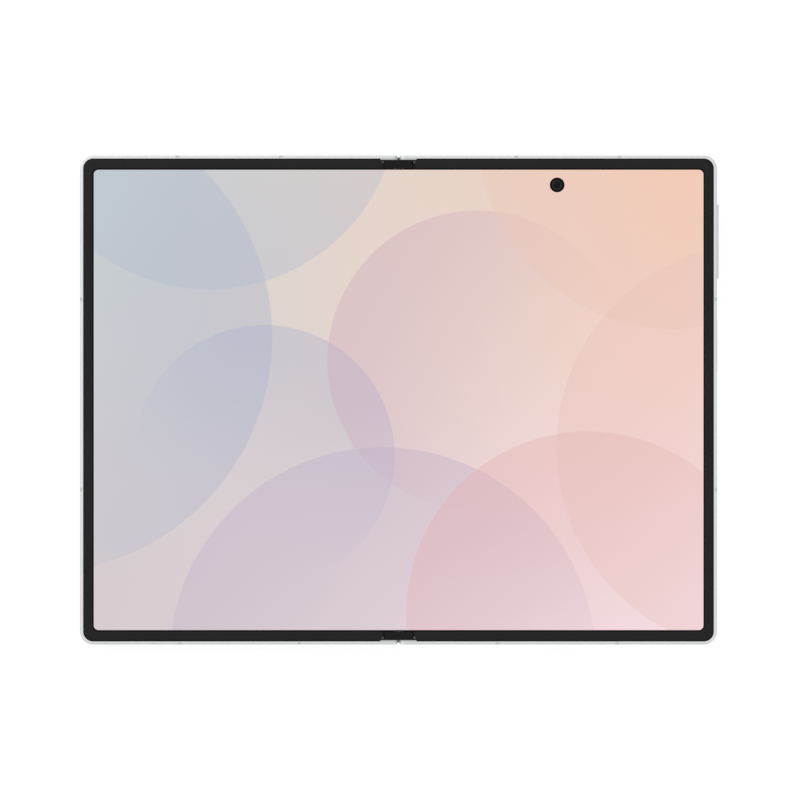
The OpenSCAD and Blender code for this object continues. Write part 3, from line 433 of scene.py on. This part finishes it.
ALONG_Y = (1.0, 0.02, 1.0)
ALONG_X = (0.02, 1.0, 1.0)
SILVER = rgb(222, 223, 224)
# Dark coat, which is also painted shade on the frame and the spine, and the lighter grey of the painted
# highlight on the frame's ears
DARK_PAINT_AND_SHADE, EAR_HIGHLIGHT = rgb(16, 16, 17), rgb(74, 74, 75)
BLASTED = {"metal": 1.0, "grain": 16000, "depth": 4e-7, "shade": 0.02}
GRAINED_LOOKS = {
    "aluminium": ("blasted_aluminium", SILVER, 0.36, BLASTED),
    "island": ("island_aluminium", rgb(206, 208, 212), 0.36, BLASTED),
    "ring": ("turned_ring", rgb(214, 215, 218), 0.2, {"metal": 1.0, "depth": 5e-7, "shade": 0.03}),
    "steel": ("ground_steel", rgb(196, 197, 199), 0.3,
              {"metal": 1.0, "grain": 5000, "depth": 1e-6, "stretch": ALONG_Y}),
    "motor": ("motor_can", rgb(186, 188, 190), 0.32,
              {"metal": 1.0, "grain": 5000, "depth": 1e-6, "stretch": ALONG_X}),
    "oxide": ("black_oxide_steel", rgb(40, 40, 42), 0.42,
              {"metal": 1.0, "grain": 12000, "depth": 1e-6, "shade": 0.15}),
    "dark_metal": ("dark_anodised", rgb(120, 122, 126), 0.4,
                   {"metal": 1.0, "grain": 12000, "depth": 1.5e-6}),
    "nickel": ("plated_nickel", rgb(206, 203, 197), 0.24, {"metal": 1.0, "grain": 5000, "depth": 1e-6}),
    "magnet": ("magnet_nickel", rgb(178, 178, 180), 0.28, {"metal": 1.0, "grain": 4000, "depth": 1e-6}),
    "gold": ("gold_plate", rgb(232, 190, 110), 0.22, {"metal": 1.0, "grain": 6000, "depth": 6e-7}),
    "antenna": ("antenna_plastic", rgb(196, 197, 198), 0.5, {"grain": 11000}),
    "bezel": ("bezel_plastic", rgb(20, 20, 21), 0.5,
              {"grain": 14000, "shade": 0.2, "Specular_IOR_Level": 0.2}),
    "cap": ("cap_plastic", rgb(17, 17, 18), 0.42,
            {"grain": 12000, "shade": 0.2, "Specular_IOR_Level": 0.14}),
    "inner_ring": ("inner_camera_black", rgb(4, 4, 4), 0.5,
                   {"depth": 1e-6, "shade": 0.2, "Specular_IOR_Level": 0.04}),
    # black seals in the slit between the halves: painted shade
    "shade_fin": ("black_shade_fin", rgb(8, 8, 8), 0.5,
             {"depth": 1e-6, "shade": 0.2, "Specular_IOR_Level": 0.08}),
    "black": ("black_plastic", rgb(34, 34, 36), 0.45, {"depth": 3e-6, "shade": 0.2}),
}
LOOKS = {key: grained(name, color, rough, **more).material
         for key, (name, color, rough, more) in GRAINED_LOOKS.items()}


def frame_look():
    """Blasted aluminium, with a dark gasket line at the bezel that is also painted shade of the gap, the
    inside of the hinge's ends painted dark, which is also painted shade there, painted shade on the end
    walls and a painted highlight on the ears.
    """
    look = grained("blasted_frame", SILVER, 0.36, **BLASTED)
    x, y, high = look.place_in_mm()
    out = look.past_corner(x, y, GLASS_X, GLASS_Y + GASKET_SHADE_MORE_Y, GLASS_R)
    # gasket line at the bezel: a gasket, and painted shade of the gap beside it
    gasket_and_gap_shade = look.both(look.under(out, GLASS_R + GASKET_SHADE_W), look.over(high, GASKET_SHADE_Z, 0.05))
    away = look.math("ABSOLUTE", y)
    at_hinge = look.under(look.math("ABSOLUTE", x), PAINT_SHADE_X)
    # inside the hinge's ends: painted dark, which is also painted shade in the gaps there
    pocket_paint_and_shade = look.both(look.under(away, PAINT_SHADE_Y, 0.01), look.over(high, PAINT_SHADE_Z))
    # painted shade: darker towards the inside from the end walls
    painted_end_shade = look.smooth(away, END_SHADE_Y1, END_SHADE_Y0, 0.0, END_SHADE)
    inner = look.both(at_hinge, look.either(pocket_paint_and_shade, painted_end_shade))
    outer = look.both(gasket_and_gap_shade, look.math("SUBTRACT", 1.0, at_hinge))
    # painted highlight: lighter grey on the ears' tops
    ear_highlight = look.both(look.over(away, EAR_Y), look.over(high, EAR_Z, 0.025))
    return look.paint(look.either(outer, inner), look.mix(ear_highlight, DARK_PAINT_AND_SHADE, EAR_HIGHLIGHT))


def spine_look():
    """Polished outside. The inside and the rims are painted dark as painted shade, so that the gaps beside
    the caps stay dark.
    """
    look = grained("polished_spine", SILVER, 0.16, 1.0, depth=4e-7, shade=0.03, stretch=ALONG_Y)
    x, y, high = look.place_in_mm()
    out = look.math("MAXIMUM", look.math("SUBTRACT", look.math("ABSOLUTE", x), AXIS_X), 0.0)
    reach = look.vector("LENGTH", look.join(out, look.math("SUBTRACT", high, AXIS_Z)))
    inside = look.both(look.under(reach, SPINE_DARK_R), look.under(look.math("ABSOLUTE", y), SPINE_DARK_Y))
    # painted shade: the inside and the rims are dark
    return look.paint(look.either(inside, look.over(high, SPINE_DARK_Z)), DARK_PAINT_AND_SHADE)


# Discs of the picture: centre, radius, colour, strength, and the way in degrees to the side where
# it is strongest
DISCS = [
    ((-92.0, 16.0), 60.0, rgb(172, 180, 203), 0.42, 10.0),
    ((-48.0, 76.0), 48.0, rgb(178, 188, 206), 0.42, -75.0),
    ((-34.0, -14.0), 33.0, rgb(166, 174, 206), 0.38, 60.0),
    ((-4.0, -66.0), 54.0, rgb(190, 178, 202), 0.45, 105.0),
    ((20.0, 10.0), 38.0, rgb(202, 162, 186), 0.36, 150.0),
    ((48.0, -54.0), 46.0, rgb(224, 170, 168), 0.36, 120.0),
    ((92.0, -12.0), 52.0, rgb(228, 190, 184), 0.36, 190.0),
    ((70.0, 68.0), 50.0, rgb(232, 198, 182), 0.36, 235.0),
]
DISC_EDGE = 0.12
GLOW_AT, GLOW_R0, GLOW_R1, GLOW = (4.0, 34.0, 0.0), 4.0, 70.0, 0.55


def screen_look():
    """The lit picture under the folding panel's film: soft overlapping discs on a pastel ground."""
    look = Look("folding_screen", rgb(1, 1, 1), 0.14, IOR=1.45, Specular_IOR_Level=0.06)
    x, y, _ = look.rest_place()
    flat = look.join(x, y)
    across, upward = look.smooth(x, -84.0, 80.0), look.smooth(y, -64.0, 64.0)
    low = look.mix(across, rgb(214, 203, 207), rgb(246, 222, 227))
    high = look.mix(across, rgb(207, 215, 212), rgb(244, 204, 184))
    # A warm pale glow lies above the middle
    glow = look.smooth(look.vector("DISTANCE", flat, GLOW_AT), GLOW_R1, GLOW_R0, 0.0, GLOW)
    picture = look.mix(glow, look.mix(upward, low, high), rgb(232, 214, 205))
    for (cx, cy), radius, color, strength, angle in DISCS:
        away = look.math("DIVIDE", look.vector("DISTANCE", flat, (cx, cy, 0.0)), radius)
        inside = look.under(away, 1.0, DISC_EDGE / radius)
        toward = (math.cos(math.radians(angle)) / radius, math.sin(math.radians(angle)) / radius, 0.0)
        side = look.vector("DOT_PRODUCT", look.vector("SUBTRACT", flat, (cx, cy, 0.0)), toward)
        deep = look.smooth(side, -0.75, 1.0, 0.0, strength)
        picture = look.mix(look.both(inside, deep), picture, color)
    # Black border of the panel, and the black rim of the camera's hole
    right, up = (look.math("SUBTRACT", at, centre) for at, centre in zip((x, y), PICTURE_AT))
    out = look.past_corner(right, up, PICTURE_X, PICTURE_Y, PICTURE_R)
    border = look.under(out, PICTURE_R)
    rim = look.over(look.vector("DISTANCE", flat, (CAM_X, CAM_Y, 0.0)), CAM_R + CAM_RIM, 0.03)
    lit = look.mix(look.both(border, rim), (0.0, 0.0, 0.0), picture)
    look.put(lit, look.bsdf.inputs["Emission Color"])
    look.bsdf.inputs["Emission Strength"].default_value = 1.0
    return look.rough(look.noise(25, 3.0), 0.12, 0.17)


def coil_look():
    look = Look("coil_winding", rgb(200, 128, 84), 0.35, 1.0)
    centre = tuple((a + b) / 2 for a, b in zip(*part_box("charging_coil")))
    wire = look.stripes(look.vector("DISTANCE", look.place, centre), 0.0008, 0.8)
    # Painted shade: the grooves between the turns of wire are darker
    look.tint(wire, rgb(96, 58, 38), rgb(214, 140, 92))
    return look.bump(wire, 8e-5)


def board_look():
    """Green mask over traces that wander a little, with low chips."""
    look = Look("circuit_board", rgb(24, 92, 62), 0.42)
    x, y, _ = look.split(look.place)
    wander = look.math("MULTIPLY", look.noise(400, 1.0), 0.0012)
    run = look.stripes(look.math("ADD", x, wander), 0.0011, 0.35)
    rise = look.stripes(look.math("ADD", y, wander), 0.0013, 0.3)
    trace = look.either(run, rise)
    chip = look.over(look.cell_edges(320), 0.05, 0.01)
    look.tint(trace, rgb(18, 78, 54), rgb(36, 116, 80))
    return look.bump(look.math("ADD", trace, look.math("MULTIPLY", chip, 1.5)), 4e-5)


def flex_look():
    look = Look("flex_cable", rgb(176, 116, 44), 0.36, Coat_Weight=0.4)
    line = look.stripes(look.rest_place()[1], 0.42, 0.55)
    look.tint(line, rgb(150, 92, 34), rgb(206, 142, 66))
    return look.bump(line, 2e-5)


def battery_look():
    look = Look("battery_pouch", rgb(52, 53, 57), 0.42, 0.35)
    foil = look.noise(140, 5.0, None, 0.8)
    look.tint(look.smooth(foil, 0.3, 0.7), rgb(42, 43, 47), rgb(62, 63, 68))
    look.rough(foil, 0.34, 0.5)
    return look.bump(foil, 6e-5)


def can_look():
    look = Look("shield_can", rgb(204, 204, 202), 0.3, 1.0)
    x, y, _ = look.split(look.place)
    dimple = look.both(look.stripes(x, 0.0015, 0.35), look.stripes(y, 0.0015, 0.35))
    # Painted shade: the sunk dimples are darker
    look.tint(dimple, rgb(208, 208, 206), rgb(178, 178, 176))
    look.rough(look.noise(900), 0.24, 0.36)
    return look.bump(dimple, -5e-5)


def plate_look():
    look = Look("etched_plate", rgb(186, 188, 190), 0.34, 1.0)
    x, y, _ = look.split(look.place)
    slot = look.both(look.stripes(x, 0.003, 0.25), look.stripes(y, 0.006, 0.6))
    # Painted shade: the sunk slots are darker
    look.tint(slot, rgb(190, 192, 194), rgb(140, 142, 146))
    look.rough(look.noise(5000, 2.0, ALONG_Y), 0.28, 0.42)
    return look.bump(slot, -8e-5)


def plug_look():
    """A plug of a flex cable: gold contacts in black plastic."""
    look = Look("flex_plug", rgb(34, 34, 36), 0.42)
    pin = look.stripes(look.split(look.place)[1], 0.0004)
    look.tint(pin, rgb(30, 30, 32), rgb(214, 172, 96))
    look.put(pin, look.bsdf.inputs["Metallic"])
    return look.bump(pin, 3e-5)


def card_look():
    look = Look("card_contacts", rgb(222, 222, 224), 0.4)
    x, y, _ = look.split(look.place)
    pad = look.both(look.stripes(x, 0.0029, 0.86), look.stripes(y, 0.0031, 0.84))
    look.tint(pad, rgb(222, 222, 224), rgb(222, 178, 98))
    look.put(pad, look.bsdf.inputs["Metallic"])
    return look.bump(pad, 2e-5)


def back_glass_look():
    """Etched glass over a silver layer: fine sparkle and a soft sheen."""
    look = Look("etched_back_glass", rgb(192, 194, 199), 0.4, 0.45, Coat_Weight=0.3, Coat_Roughness=0.3)
    fleck = look.noise(14000, 1.0)
    shade = look.math("MULTIPLY", look.math("ADD", fleck, look.noise(25, 2.0)), 0.5)
    look.tint(shade, rgb(184, 186, 191), rgb(201, 203, 208))
    look.rough(fleck, 0.36, 0.46)
    return look.bump(look.noise(22000, 1.0), 1.2e-6)


def cover_glass_look():
    """Glass over the cover screen: black print at the rim, and the dark panel inside it."""
    look = Look("cover_glass_black", rgb(6, 6, 7), 0.05, IOR=1.5, Specular_IOR_Level=0.25)
    x, y, _ = look.place_in_mm()
    out = look.past_corner(look.math("SUBTRACT", x, COVER_PANEL_AT), y, COVER_PANEL_X, COVER_PANEL_Y,
                           COVER_PANEL_R)
    panel = look.under(out, COVER_PANEL_R, 0.05)
    look.tint(panel, rgb(5, 5, 6), rgb(17, 17, 20))
    return look.rough(look.noise(35, 4.0), 0.035, 0.07)


def lens_look():
    look = Look("coated_lens", rgb(6, 7, 11), 0.06, IOR=1.6, Specular_IOR_Level=0.16,
                Specular_Tint=(0.62, 0.56, 1.0, 1.0))
    look.tint(look.smooth(look.noise(120, 2.0), 0.3, 0.7), rgb(5, 6, 10), rgb(9, 8, 14))
    return look.rough(look.noise(80), 0.04, 0.07)


def window_look():
    look = Look("clear_window", rgb(250, 251, 252), 0.0, IOR=1.13, Transmission_Weight=1.0)
    return look.tint(look.smooth(look.noise(60, 2.0), 0.3, 0.7), rgb(243, 245, 247), rgb(252, 252, 253))


def barrel_look(name, dark, pale):
    look = Look(name, pale, 0.42, Specular_IOR_Level=0.16)
    look.tint(look.noise(900), dark, pale)
    look.rough(look.noise(2500), 0.34, 0.5)
    return look.bump(look.noise(9000), 2e-6)


def flash_look():
    look = Look("flash_fresnel", rgb(236, 226, 188), 0.22, IOR=1.5, Transmission_Weight=0.3)
    look.tint(look.noise(700), rgb(230, 216, 168), rgb(242, 234, 206))
    return look.rough(look.noise(2000), 0.16, 0.28)


def dust_mesh_look():
    """Fine woven dust mesh behind the sound holes."""
    look = Look("dust_mesh", rgb(46, 46, 48), 0.5, 0.6)
    x, _, z = look.split(look.place)
    weave = look.either(look.stripes(x, 0.00012), look.stripes(z, 0.00012))
    # Painted shade: the openings between the threads are dark
    look.tint(weave, rgb(12, 12, 13), rgb(78, 78, 80))
    return look.bump(weave, 2e-5)


for key, look in {
    "frame": frame_look(), "polished": spine_look(), "screen": screen_look(), "coil": coil_look(),
    "board": board_look(), "flex": flex_look(), "battery": battery_look(), "can": can_look(),
    "plate": plate_look(), "plug": plug_look(), "card": card_look(), "back_glass": back_glass_look(),
    "cover_glass": cover_glass_look(), "lens": lens_look(), "window": window_look(),
    "flash": flash_look(), "dust_mesh": dust_mesh_look(),
    "barrel": barrel_look("lens_barrel", rgb(9, 9, 9), rgb(15, 15, 15)),
    "inner_barrel": barrel_look("inner_lens_barrel", rgb(26, 26, 25), rgb(33, 33, 31)),
}.items():
    LOOKS[key] = look.material


# ---- CAD nodes that stay, with better finishes ----

NODE_LOOKS = {
    "frame": ["right_frame", "left_frame"],
    "aluminium": ["volume_rocker", "power_key", "sim_tray"],
    "island": ["camera_island"],
    "polished": ["spine_cover"],
    "ring": ["camera_rings"],
    "steel": ["hinge_brackets", "idler_shafts", "display_rail", "rail_screws", "right_screws",
              "left_screws", "right_main_gears", "left_main_gears", "right_idler_gears",
              "left_idler_gears", "usb_c_shell"],
    "oxide": ["right_hinge_pins", "left_hinge_pins"],
    "plate": ["right_wing_plate", "left_wing_plate", "right_midplate", "left_midplate"],
    "dark_metal": ["camera_modules", "inner_camera", "cover_camera", "key_switches"],
    "nickel": ["sim_reader"],
    "magnet": ["right_magnets", "left_magnets"],
    "antenna": ["right_antenna_bands", "left_antenna_bands"],
    "cap": ["hinge_end_caps"],
    "black": ["usb_c_tongue", "loudspeaker", "earpiece_speaker"],
    "battery": ["main_battery", "second_battery"],
    "coil": ["charging_coil"],
    "board": ["main_board", "second_board"],
    "can": ["shield_cans"],
    "plug": ["right_flex_connectors", "left_flex_connectors"],
    "card": ["sim_card"],
    "motor": ["vibration_motor"],
    "back_glass": ["right_back_glass"],
    "cover_glass": ["cover_display"],
}
for key, names in NODE_LOOKS.items():
    for name in names:
        NODES[name].data.materials.clear()
        NODES[name].data.materials.append(LOOKS[key])


def soften(name, width, segments=3):
    """Rounds a CAD node's sharp edges without touching its mesh."""
    bevel = NODES[name].modifiers.new("soft_edges", "BEVEL")
    bevel.width, bevel.segments = width * MM, segments
    bevel.limit_method, bevel.angle_limit = "ANGLE", math.radians(40)
    bevel.harden_normals = True


for name, width in (("volume_rocker", 0.22), ("power_key", 0.06), ("hinge_end_caps", 0.08),
                    ("camera_island", 0.06), ("usb_c_tongue", 0.05)):
    soften(name, width)

# ---- Folding screen and flex cables, which bend over the hinge ----

def bend(piece, side, *node_names):
    """Stores each point's place at rest, which the pattern keeps to, bakes the piece's transform and hides
    the CAD nodes it takes the place of.
    """
    rest = piece.data.attributes.new("rest", "FLOAT_VECTOR", "POINT")
    for v, value in zip(piece.data.vertices, rest.data):
        value.vector = (v.co.x / MM, v.co.y / MM, 0.0)
    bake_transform(piece)
    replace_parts(piece, *node_names)


def screen_half(name, side, node_names, holes):
    """Half of the folding screen: columns over the strip that bends, then one plate with its holes."""
    bm = bmesh.new()
    rows = []
    for x in [FOLD_STRIP * i / STRIP_STEPS for i in range(STRIP_STEPS + 1)]:
        top = PANEL_Z1 - CREASE * math.exp(-(x / CREASE_W) ** 2)
        rows.append([(x, -VIEW_Y, PANEL_Z0), (x, VIEW_Y, PANEL_Z0), (x, VIEW_Y, top), (x, -VIEW_Y, top)])
    made = add_rows(bm, rows, caps=False)
    bm.faces.new(made[0])
    wall = half_path(FOLD_STRIP, PANEL_X, PANEL_Y, PANEL_R) + [(FOLD_STRIP, VIEW_Y)]
    strip_corner = (FOLD_STRIP, -VIEW_Y)
    for z in (PANEL_Z0, PANEL_Z1):
        cap_faces(bm, [wall + [strip_corner]] + holes, z)
    add_rows(bm, [[(x, y, z) for x, y in [strip_corner] + wall] for z in (PANEL_Z0, PANEL_Z1)],
             closed_rows=False, caps=False)
    for hole in holes:
        add_rows(bm, [[(x, y, z) for x, y in hole] for z in (PANEL_Z0, PANEL_Z1)], caps=False)
    bend(finish_mesh(bm, name, LOOKS["screen"], None, side), side, *node_names)


def flex_half(name, side):
    """The two cables over the hinge, from the fold to one half's board."""
    bm = bmesh.new()
    for y0, y1 in ((-FLEX_TOP, FLEX_W - FLEX_TOP), (FLEX_TOP - FLEX_W, FLEX_TOP)):
        add_rows(bm, [[(x, y0, FLEX_Z0), (x, y1, FLEX_Z0), (x, y1, FLEX_Z1), (x, y0, FLEX_Z1)]
                      for x in [BEND_END * i / BEND_STEPS for i in range(BEND_STEPS + 1)] + [FLEX_END]])
    bend(finish_mesh(bm, name, LOOKS["flex"], None, side), side, "hinge_flex_cables")


screen_half("screen_right", 1, ["inner_display_right", "inner_display_fold"],
            [circle(CAM_X, CAM_Y, CAM_R)])
screen_half("screen_left", -1, ["inner_display_left"], [])
flex_half("flex_cables_right", 1)
flex_half("flex_cables_left", -1)

# ---- Bezels ----

# Share of the way across the bezel, from its outer edge (0) to its inner edge (1), and the height there
BEZEL_PROFILE = [
    (0.0, 4.05), (0.0, 4.66), (0.015, 4.74), (0.06, 4.81), (0.13, 4.86), (0.22, 4.885), (0.34, 4.895),
    (0.6, 4.9), (0.86, 4.9), (0.93, 4.893), (0.975, 4.865), (0.995, 4.82), (1.0, 4.76), (1.0, 4.53),
    (0.715, 4.53), (0.715, 4.05),
]
# How far the bezel's end stands back from the fold, by the same share
BEZEL_ENDS = [(0.0, 4.6), (0.1, 4.6), (0.13, 4.38), (0.44, 4.38), (0.5, 4.12), (1.0, 4.08)]


def between(table, t):
    """The value at t, on straight lines between a table's rows."""
    for (a, va), (b, vb) in zip(table, table[1:]):
        if t <= b:
            return va + (vb - va) * (t - a) / (b - a)
    return table[-1][1]


def bezel(name, side, body, node):
    """The bezel's section, swept from the hinge round a half and back to the hinge."""
    outer = half_path(0.0, GLASS_X, GLASS_Y, GLASS_R, 16)
    inner = half_path(0.0, VIEW_X, VIEW_Y, PANEL_R, 16)
    rows = []
    for i, (a, b) in enumerate(zip(outer, inner)):
        at_end = i in (0, len(outer) - 1)
        rows.append([(between(BEZEL_ENDS, t) if at_end else a[0] + (b[0] - a[0]) * t,
                      a[1] + (b[1] - a[1]) * t, z) for t, z in BEZEL_PROFILE])
    bm = bmesh.new()
    made = add_rows(bm, rows, caps=False)
    for row in (made[0], made[-1]):
        bmesh.ops.triangulate(bm, faces=[bm.faces.new(row)])
    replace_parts(finish_mesh(bm, name, LOOKS["bezel"], body, side), node)


bezel("bezel_right", 1, "right_half", "right_bezel")
bezel("bezel_left", -1, "left_half", "left_bezel")

# ---- Seals at the spine's ends, in the slit between the halves: black fins there as painted shade ----

bm = bmesh.new()
for y0, y1 in ((-SHADE_FIN_Y1, -SHADE_FIN_Y0), (SHADE_FIN_Y0, SHADE_FIN_Y1)):
    soft_box(bm, -SHADE_FIN_W / 2, SHADE_FIN_W / 2, y0, y1, SHADE_FIN_Z0, SHADE_FIN_Z1, bevel=0.03)
finish_mesh(bm, "hinge_end_shade_fins", LOOKS["shade_fin"], "hinge_spine")

# ---- Inner camera behind its hole in the screen ----

# Radius and height
INNER_RING = [(1.80, 4.02), (1.80, 4.40), (1.76, 4.45), (1.68, 4.46), (1.46, 4.42), (1.40, 4.34),
              (1.40, 4.02)]
INNER_BARREL = [(1.39, 4.0), (1.39, 4.34), (1.34, 4.36), (1.16, 4.355), (1.12, 4.31), (0.94, 4.30),
                (0.90, 4.24), (0.82, 4.23), (0.78, 4.16), (0.78, 4.0)]
INNER_LENS = [(0.0, 4.30), (0.2, 4.293), (0.4, 4.27), (0.58, 4.23), (0.72, 4.17), (0.77, 4.12),
              (0.77, 4.0), (0.0, 4.0)]
turned("inner_camera_ring", CAM_X, CAM_Y, INNER_RING, LOOKS["inner_ring"], "right_half")
turned("inner_camera_barrel", CAM_X, CAM_Y, INNER_BARREL, LOOKS["inner_barrel"], "right_half")
piece = turned("inner_camera_lens", CAM_X, CAM_Y, INNER_LENS, LOOKS["lens"], "right_half")
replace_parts(piece, "inner_camera_window")

# ---- Rear cameras and flash ----

REAR_WINDOW = [(0.0, -1.45), (5.2, -1.45), (5.4, -1.41), (5.52, -1.33), (5.52, -1.2), (0.0, -1.2)]
REAR_BARREL = [(5.52, -1.19), (4.9, -1.19), (4.8, -1.13), (4.5, -1.13), (4.42, -1.05), (3.7, -1.02),
               (3.6, -0.93), (2.9, -0.88), (2.8, -0.80), (2.3, -0.78), (2.25, -0.68), (5.52, -0.68)]
REAR_LENS = [(0.0, -0.90), (0.9, -0.875), (1.6, -0.81), (2.24, -0.70), (2.24, -0.66), (0.0, -0.66)]
for number, y in enumerate(LENS_Y, 1):
    window = turned(f"rear_window_{number}", ISLAND_X, y, REAR_WINDOW, LOOKS["window"], "right_half",
                    96)
    turned(f"rear_barrel_{number}", ISLAND_X, y, REAR_BARREL, LOOKS["barrel"], "right_half",
           96)
    turned(f"rear_lens_{number}", ISLAND_X, y, REAR_LENS, LOOKS["lens"], "right_half")
    if number == 1:
        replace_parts(window, "camera_lens_windows")

RIDGES, RIDGE_R, RIDGE_PITCH, RIDGE_W = 5, 0.3, 0.22, 0.18
ridges = [(0.0, -1.02), (0.25, -1.03)]
for i in range(RIDGES):
    r = RIDGE_R + i * RIDGE_PITCH
    ridges += [(r, -0.98), (r + RIDGE_W, -1.06)]
ridges += [(1.46, -1.04), (1.49, -1.0), (1.49, 0.9), (0.0, 0.9)]
piece = turned("flash_fresnel_lens", ISLAND_X, FLASH_Y, ridges, LOOKS["flash"], "right_half",
               48)
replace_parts(piece, "flash_lens")

# ---- Cover glass with a clear spot over its camera ----

# How far into the plate, and the height there
COVER_EDGE = [(0.3, 0.0), (0.17, 0.015), (0.07, 0.06), (0.02, 0.12), (0.0, 0.2), (0.0, 0.6)]
COVER_WINDOW = [(0.0, 0.0), (COVER_SPOT_R, 0.0), (COVER_SPOT_R, 0.2), (0.0, 0.2)]
COVER_BARREL = [(1.75, 0.22), (1.3, 0.22), (1.2, 0.32), (0.8, 0.36), (0.75, 0.45), (1.75, 0.45)]
COVER_LENS = [(0.0, 0.34), (0.5, 0.37), (0.74, 0.42), (0.74, 0.5), (0.0, 0.5)]


def cover_outline(d):
    return half_path(GLASS_INNER_X + d, GLASS_X - d, GLASS_Y - d, GLASS_R - d, 16)


def cover_spot(_):
    return circle(-COVER_CAM_X, COVER_CAM_Y, COVER_SPOT_R)


piece = plate("cover_glass_plate", [cover_outline, cover_spot], COVER_EDGE, LOOKS["cover_glass"],
              "left_half", -1)
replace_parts(piece, "cover_glass")
for name, profile, look, slot in (
        ("cover_camera_window", COVER_WINDOW, "window", "lens_glass"),
        ("cover_camera_barrel", COVER_BARREL, "barrel", "black_plastic"),
        ("cover_camera_lens", COVER_LENS, "lens", "lens_glass")):
    turned(name, COVER_CAM_X, COVER_CAM_Y, profile, LOOKS[look], "left_half")

# ---- USB contacts and dust meshes ----

bm = bmesh.new()
for z in (USB_Z - CONTACT_UP, USB_Z + CONTACT_UP):
    for x in row_of(CONTACTS, USB_X, CONTACT_PITCH):
        soft_box(bm, x - CONTACT_W / 2, x + CONTACT_W / 2, CONTACT_Y0, CONTACT_Y1,
                 z - CONTACT_T / 2, z + CONTACT_T / 2, bevel=0.015)
finish_mesh(bm, "usb_contacts", LOOKS["gold"], "right_half")


def dust_mesh(bm, x, half, top):
    """A patch of mesh behind one hole of the top or the bottom edge."""
    y0, y1 = (HOLE_Y0, HOLE_Y1) if top else (-HOLE_Y1, -HOLE_Y0)
    soft_box(bm, x - half, x + half, y0, y1, HOLE_Z - half, HOLE_Z + half, bevel=0.05)


bm = bmesh.new()
for x in SPEAKER_XS:
    dust_mesh(bm, x, SPEAKER_HALF, False)
dust_mesh(bm, BOTTOM_MIC_X, MIC_HALF, False)
dust_mesh(bm, TOP_MIC_X, MIC_HALF, True)
finish_mesh(bm, "dust_meshes_right", LOOKS["dust_mesh"], "right_half")
bm = bmesh.new()
for x in EARPIECE_XS:
    dust_mesh(bm, x, MIC_HALF, True)
dust_mesh(bm, LEFT_MIC_X, MIC_HALF, False)
finish_mesh(bm, "dust_meshes_left", LOOKS["dust_mesh"], "left_half")

# ---- Floor, light and camera. Lengths here are in metres ----

FLOOR_SIZE, FLOOR_SHADE, FLOOR_GLOW = 12, 0.24, 0.82
SKY_TOWARD, SKY_LOW, SKY_HIGH, HORIZON = (-0.42, 0.42, 0.80), 0.42, 0.95, 0.62


def floor():
    """Pale floor. Camera, gloss and glass see it white, with the object's shadow on it."""
    bpy.ops.mesh.primitive_plane_add(size=FLOOR_SIZE, location=(0, 0, 0))
    plane = bpy.context.object
    plane.name = "studio_floor"
    look = Look("studio_floor", (FLOOR_SHADE,) * 3, 0.9, Specular_IOR_Level=0.0)
    path = look.add("LightPath").outputs
    seen = look.either(look.either(path["Is Camera Ray"], path["Is Glossy Ray"]),
                       path["Is Transmission Ray"])
    glow = look.add("Emission")
    look.put(look.math("MULTIPLY", seen, FLOOR_GLOW), glow.inputs["Strength"])
    both = look.add("AddShader")
    look.put(look.bsdf.outputs[0], both.inputs[0])
    look.put(glow.outputs[0], both.inputs[1])
    # From below the floor is clear, so that the back can be looked at
    side = look.add("MixShader")
    look.put(look.add("NewGeometry").outputs["Backfacing"], side.inputs[0])
    look.put(both.outputs[0], side.inputs[1])
    look.put(look.add("BsdfTransparent").outputs[0], side.inputs[2])
    look.put(side.outputs[0], look.nodes["Material Output"].inputs["Surface"])
    plane.data.materials.append(look.material)
    plane.visible_diffuse = False
    plane.visible_shadow = False


def studio():
    """A soft sky, brightest at the upper left, the same above and below. The camera sees it white."""
    world = bpy.data.worlds.new("studio")
    bpy.context.scene.world = world
    world.use_nodes = True
    sky = Tree(world.node_tree)
    x, y, z = sky.split(sky.add("TexCoord").outputs["Generated"])
    steep = sky.math("ABSOLUTE", z)
    toward = sky.vector("DOT_PRODUCT", sky.join(x, y, steep), SKY_TOWARD)
    shade = sky.ramp(toward, -0.9, 1.0, SKY_LOW, SKY_HIGH)
    horizon = sky.smooth(steep, 0.0, 0.5, HORIZON, 1.0)
    seen = sky.add("LightPath").outputs["Is Camera Ray"]
    level = sky.either(sky.both(shade, horizon), seen)
    background = sky.nodes["Background"]
    background.inputs["Color"].default_value = (1, 1, 1, 1)
    sky.put(level, background.inputs["Strength"])


def softbox(name, place, size, watts):
    """A square lamp that faces the origin."""
    lamp = bpy.data.lights.new(name, "AREA")
    lamp.shape, lamp.size, lamp.energy = "SQUARE", size, watts
    holder = bpy.data.objects.new(name, lamp)
    holder.location = place
    holder.rotation_euler = (-Vector(place)).to_track_quat("-Z", "Y").to_euler()
    bpy.context.scene.collection.objects.link(holder)


floor()
studio()
softbox("key_softbox", (-0.62, 0.55, 1.0), 1.0, 3.4)
softbox("fill_softbox", (0.8, -0.5, 0.8), 1.0, 1.6)
softbox("back_softbox", (-0.6, 0.7, -0.9), 0.9, 2.4)

# The photo is straight on, and its 800 pixels span 202.7 mm. LENS and SENSOR are in millimetres
LENS, SENSOR, VIEW_SPAN, VIEW_MIDDLE = 500.0, 36.0, 0.2027, 0.00038
camera = bpy.data.objects.new("camera", bpy.data.cameras.new("camera"))
camera.data.lens, camera.data.sensor_width = LENS, SENSOR
camera.location = (VIEW_MIDDLE, 0.0, (BACK_Z + BODY_T) * MM + VIEW_SPAN * LENS / SENSOR)
bpy.context.scene.collection.objects.link(camera)
bpy.context.scene.camera = camera
bpy.context.scene.view_settings.view_transform = "Standard"
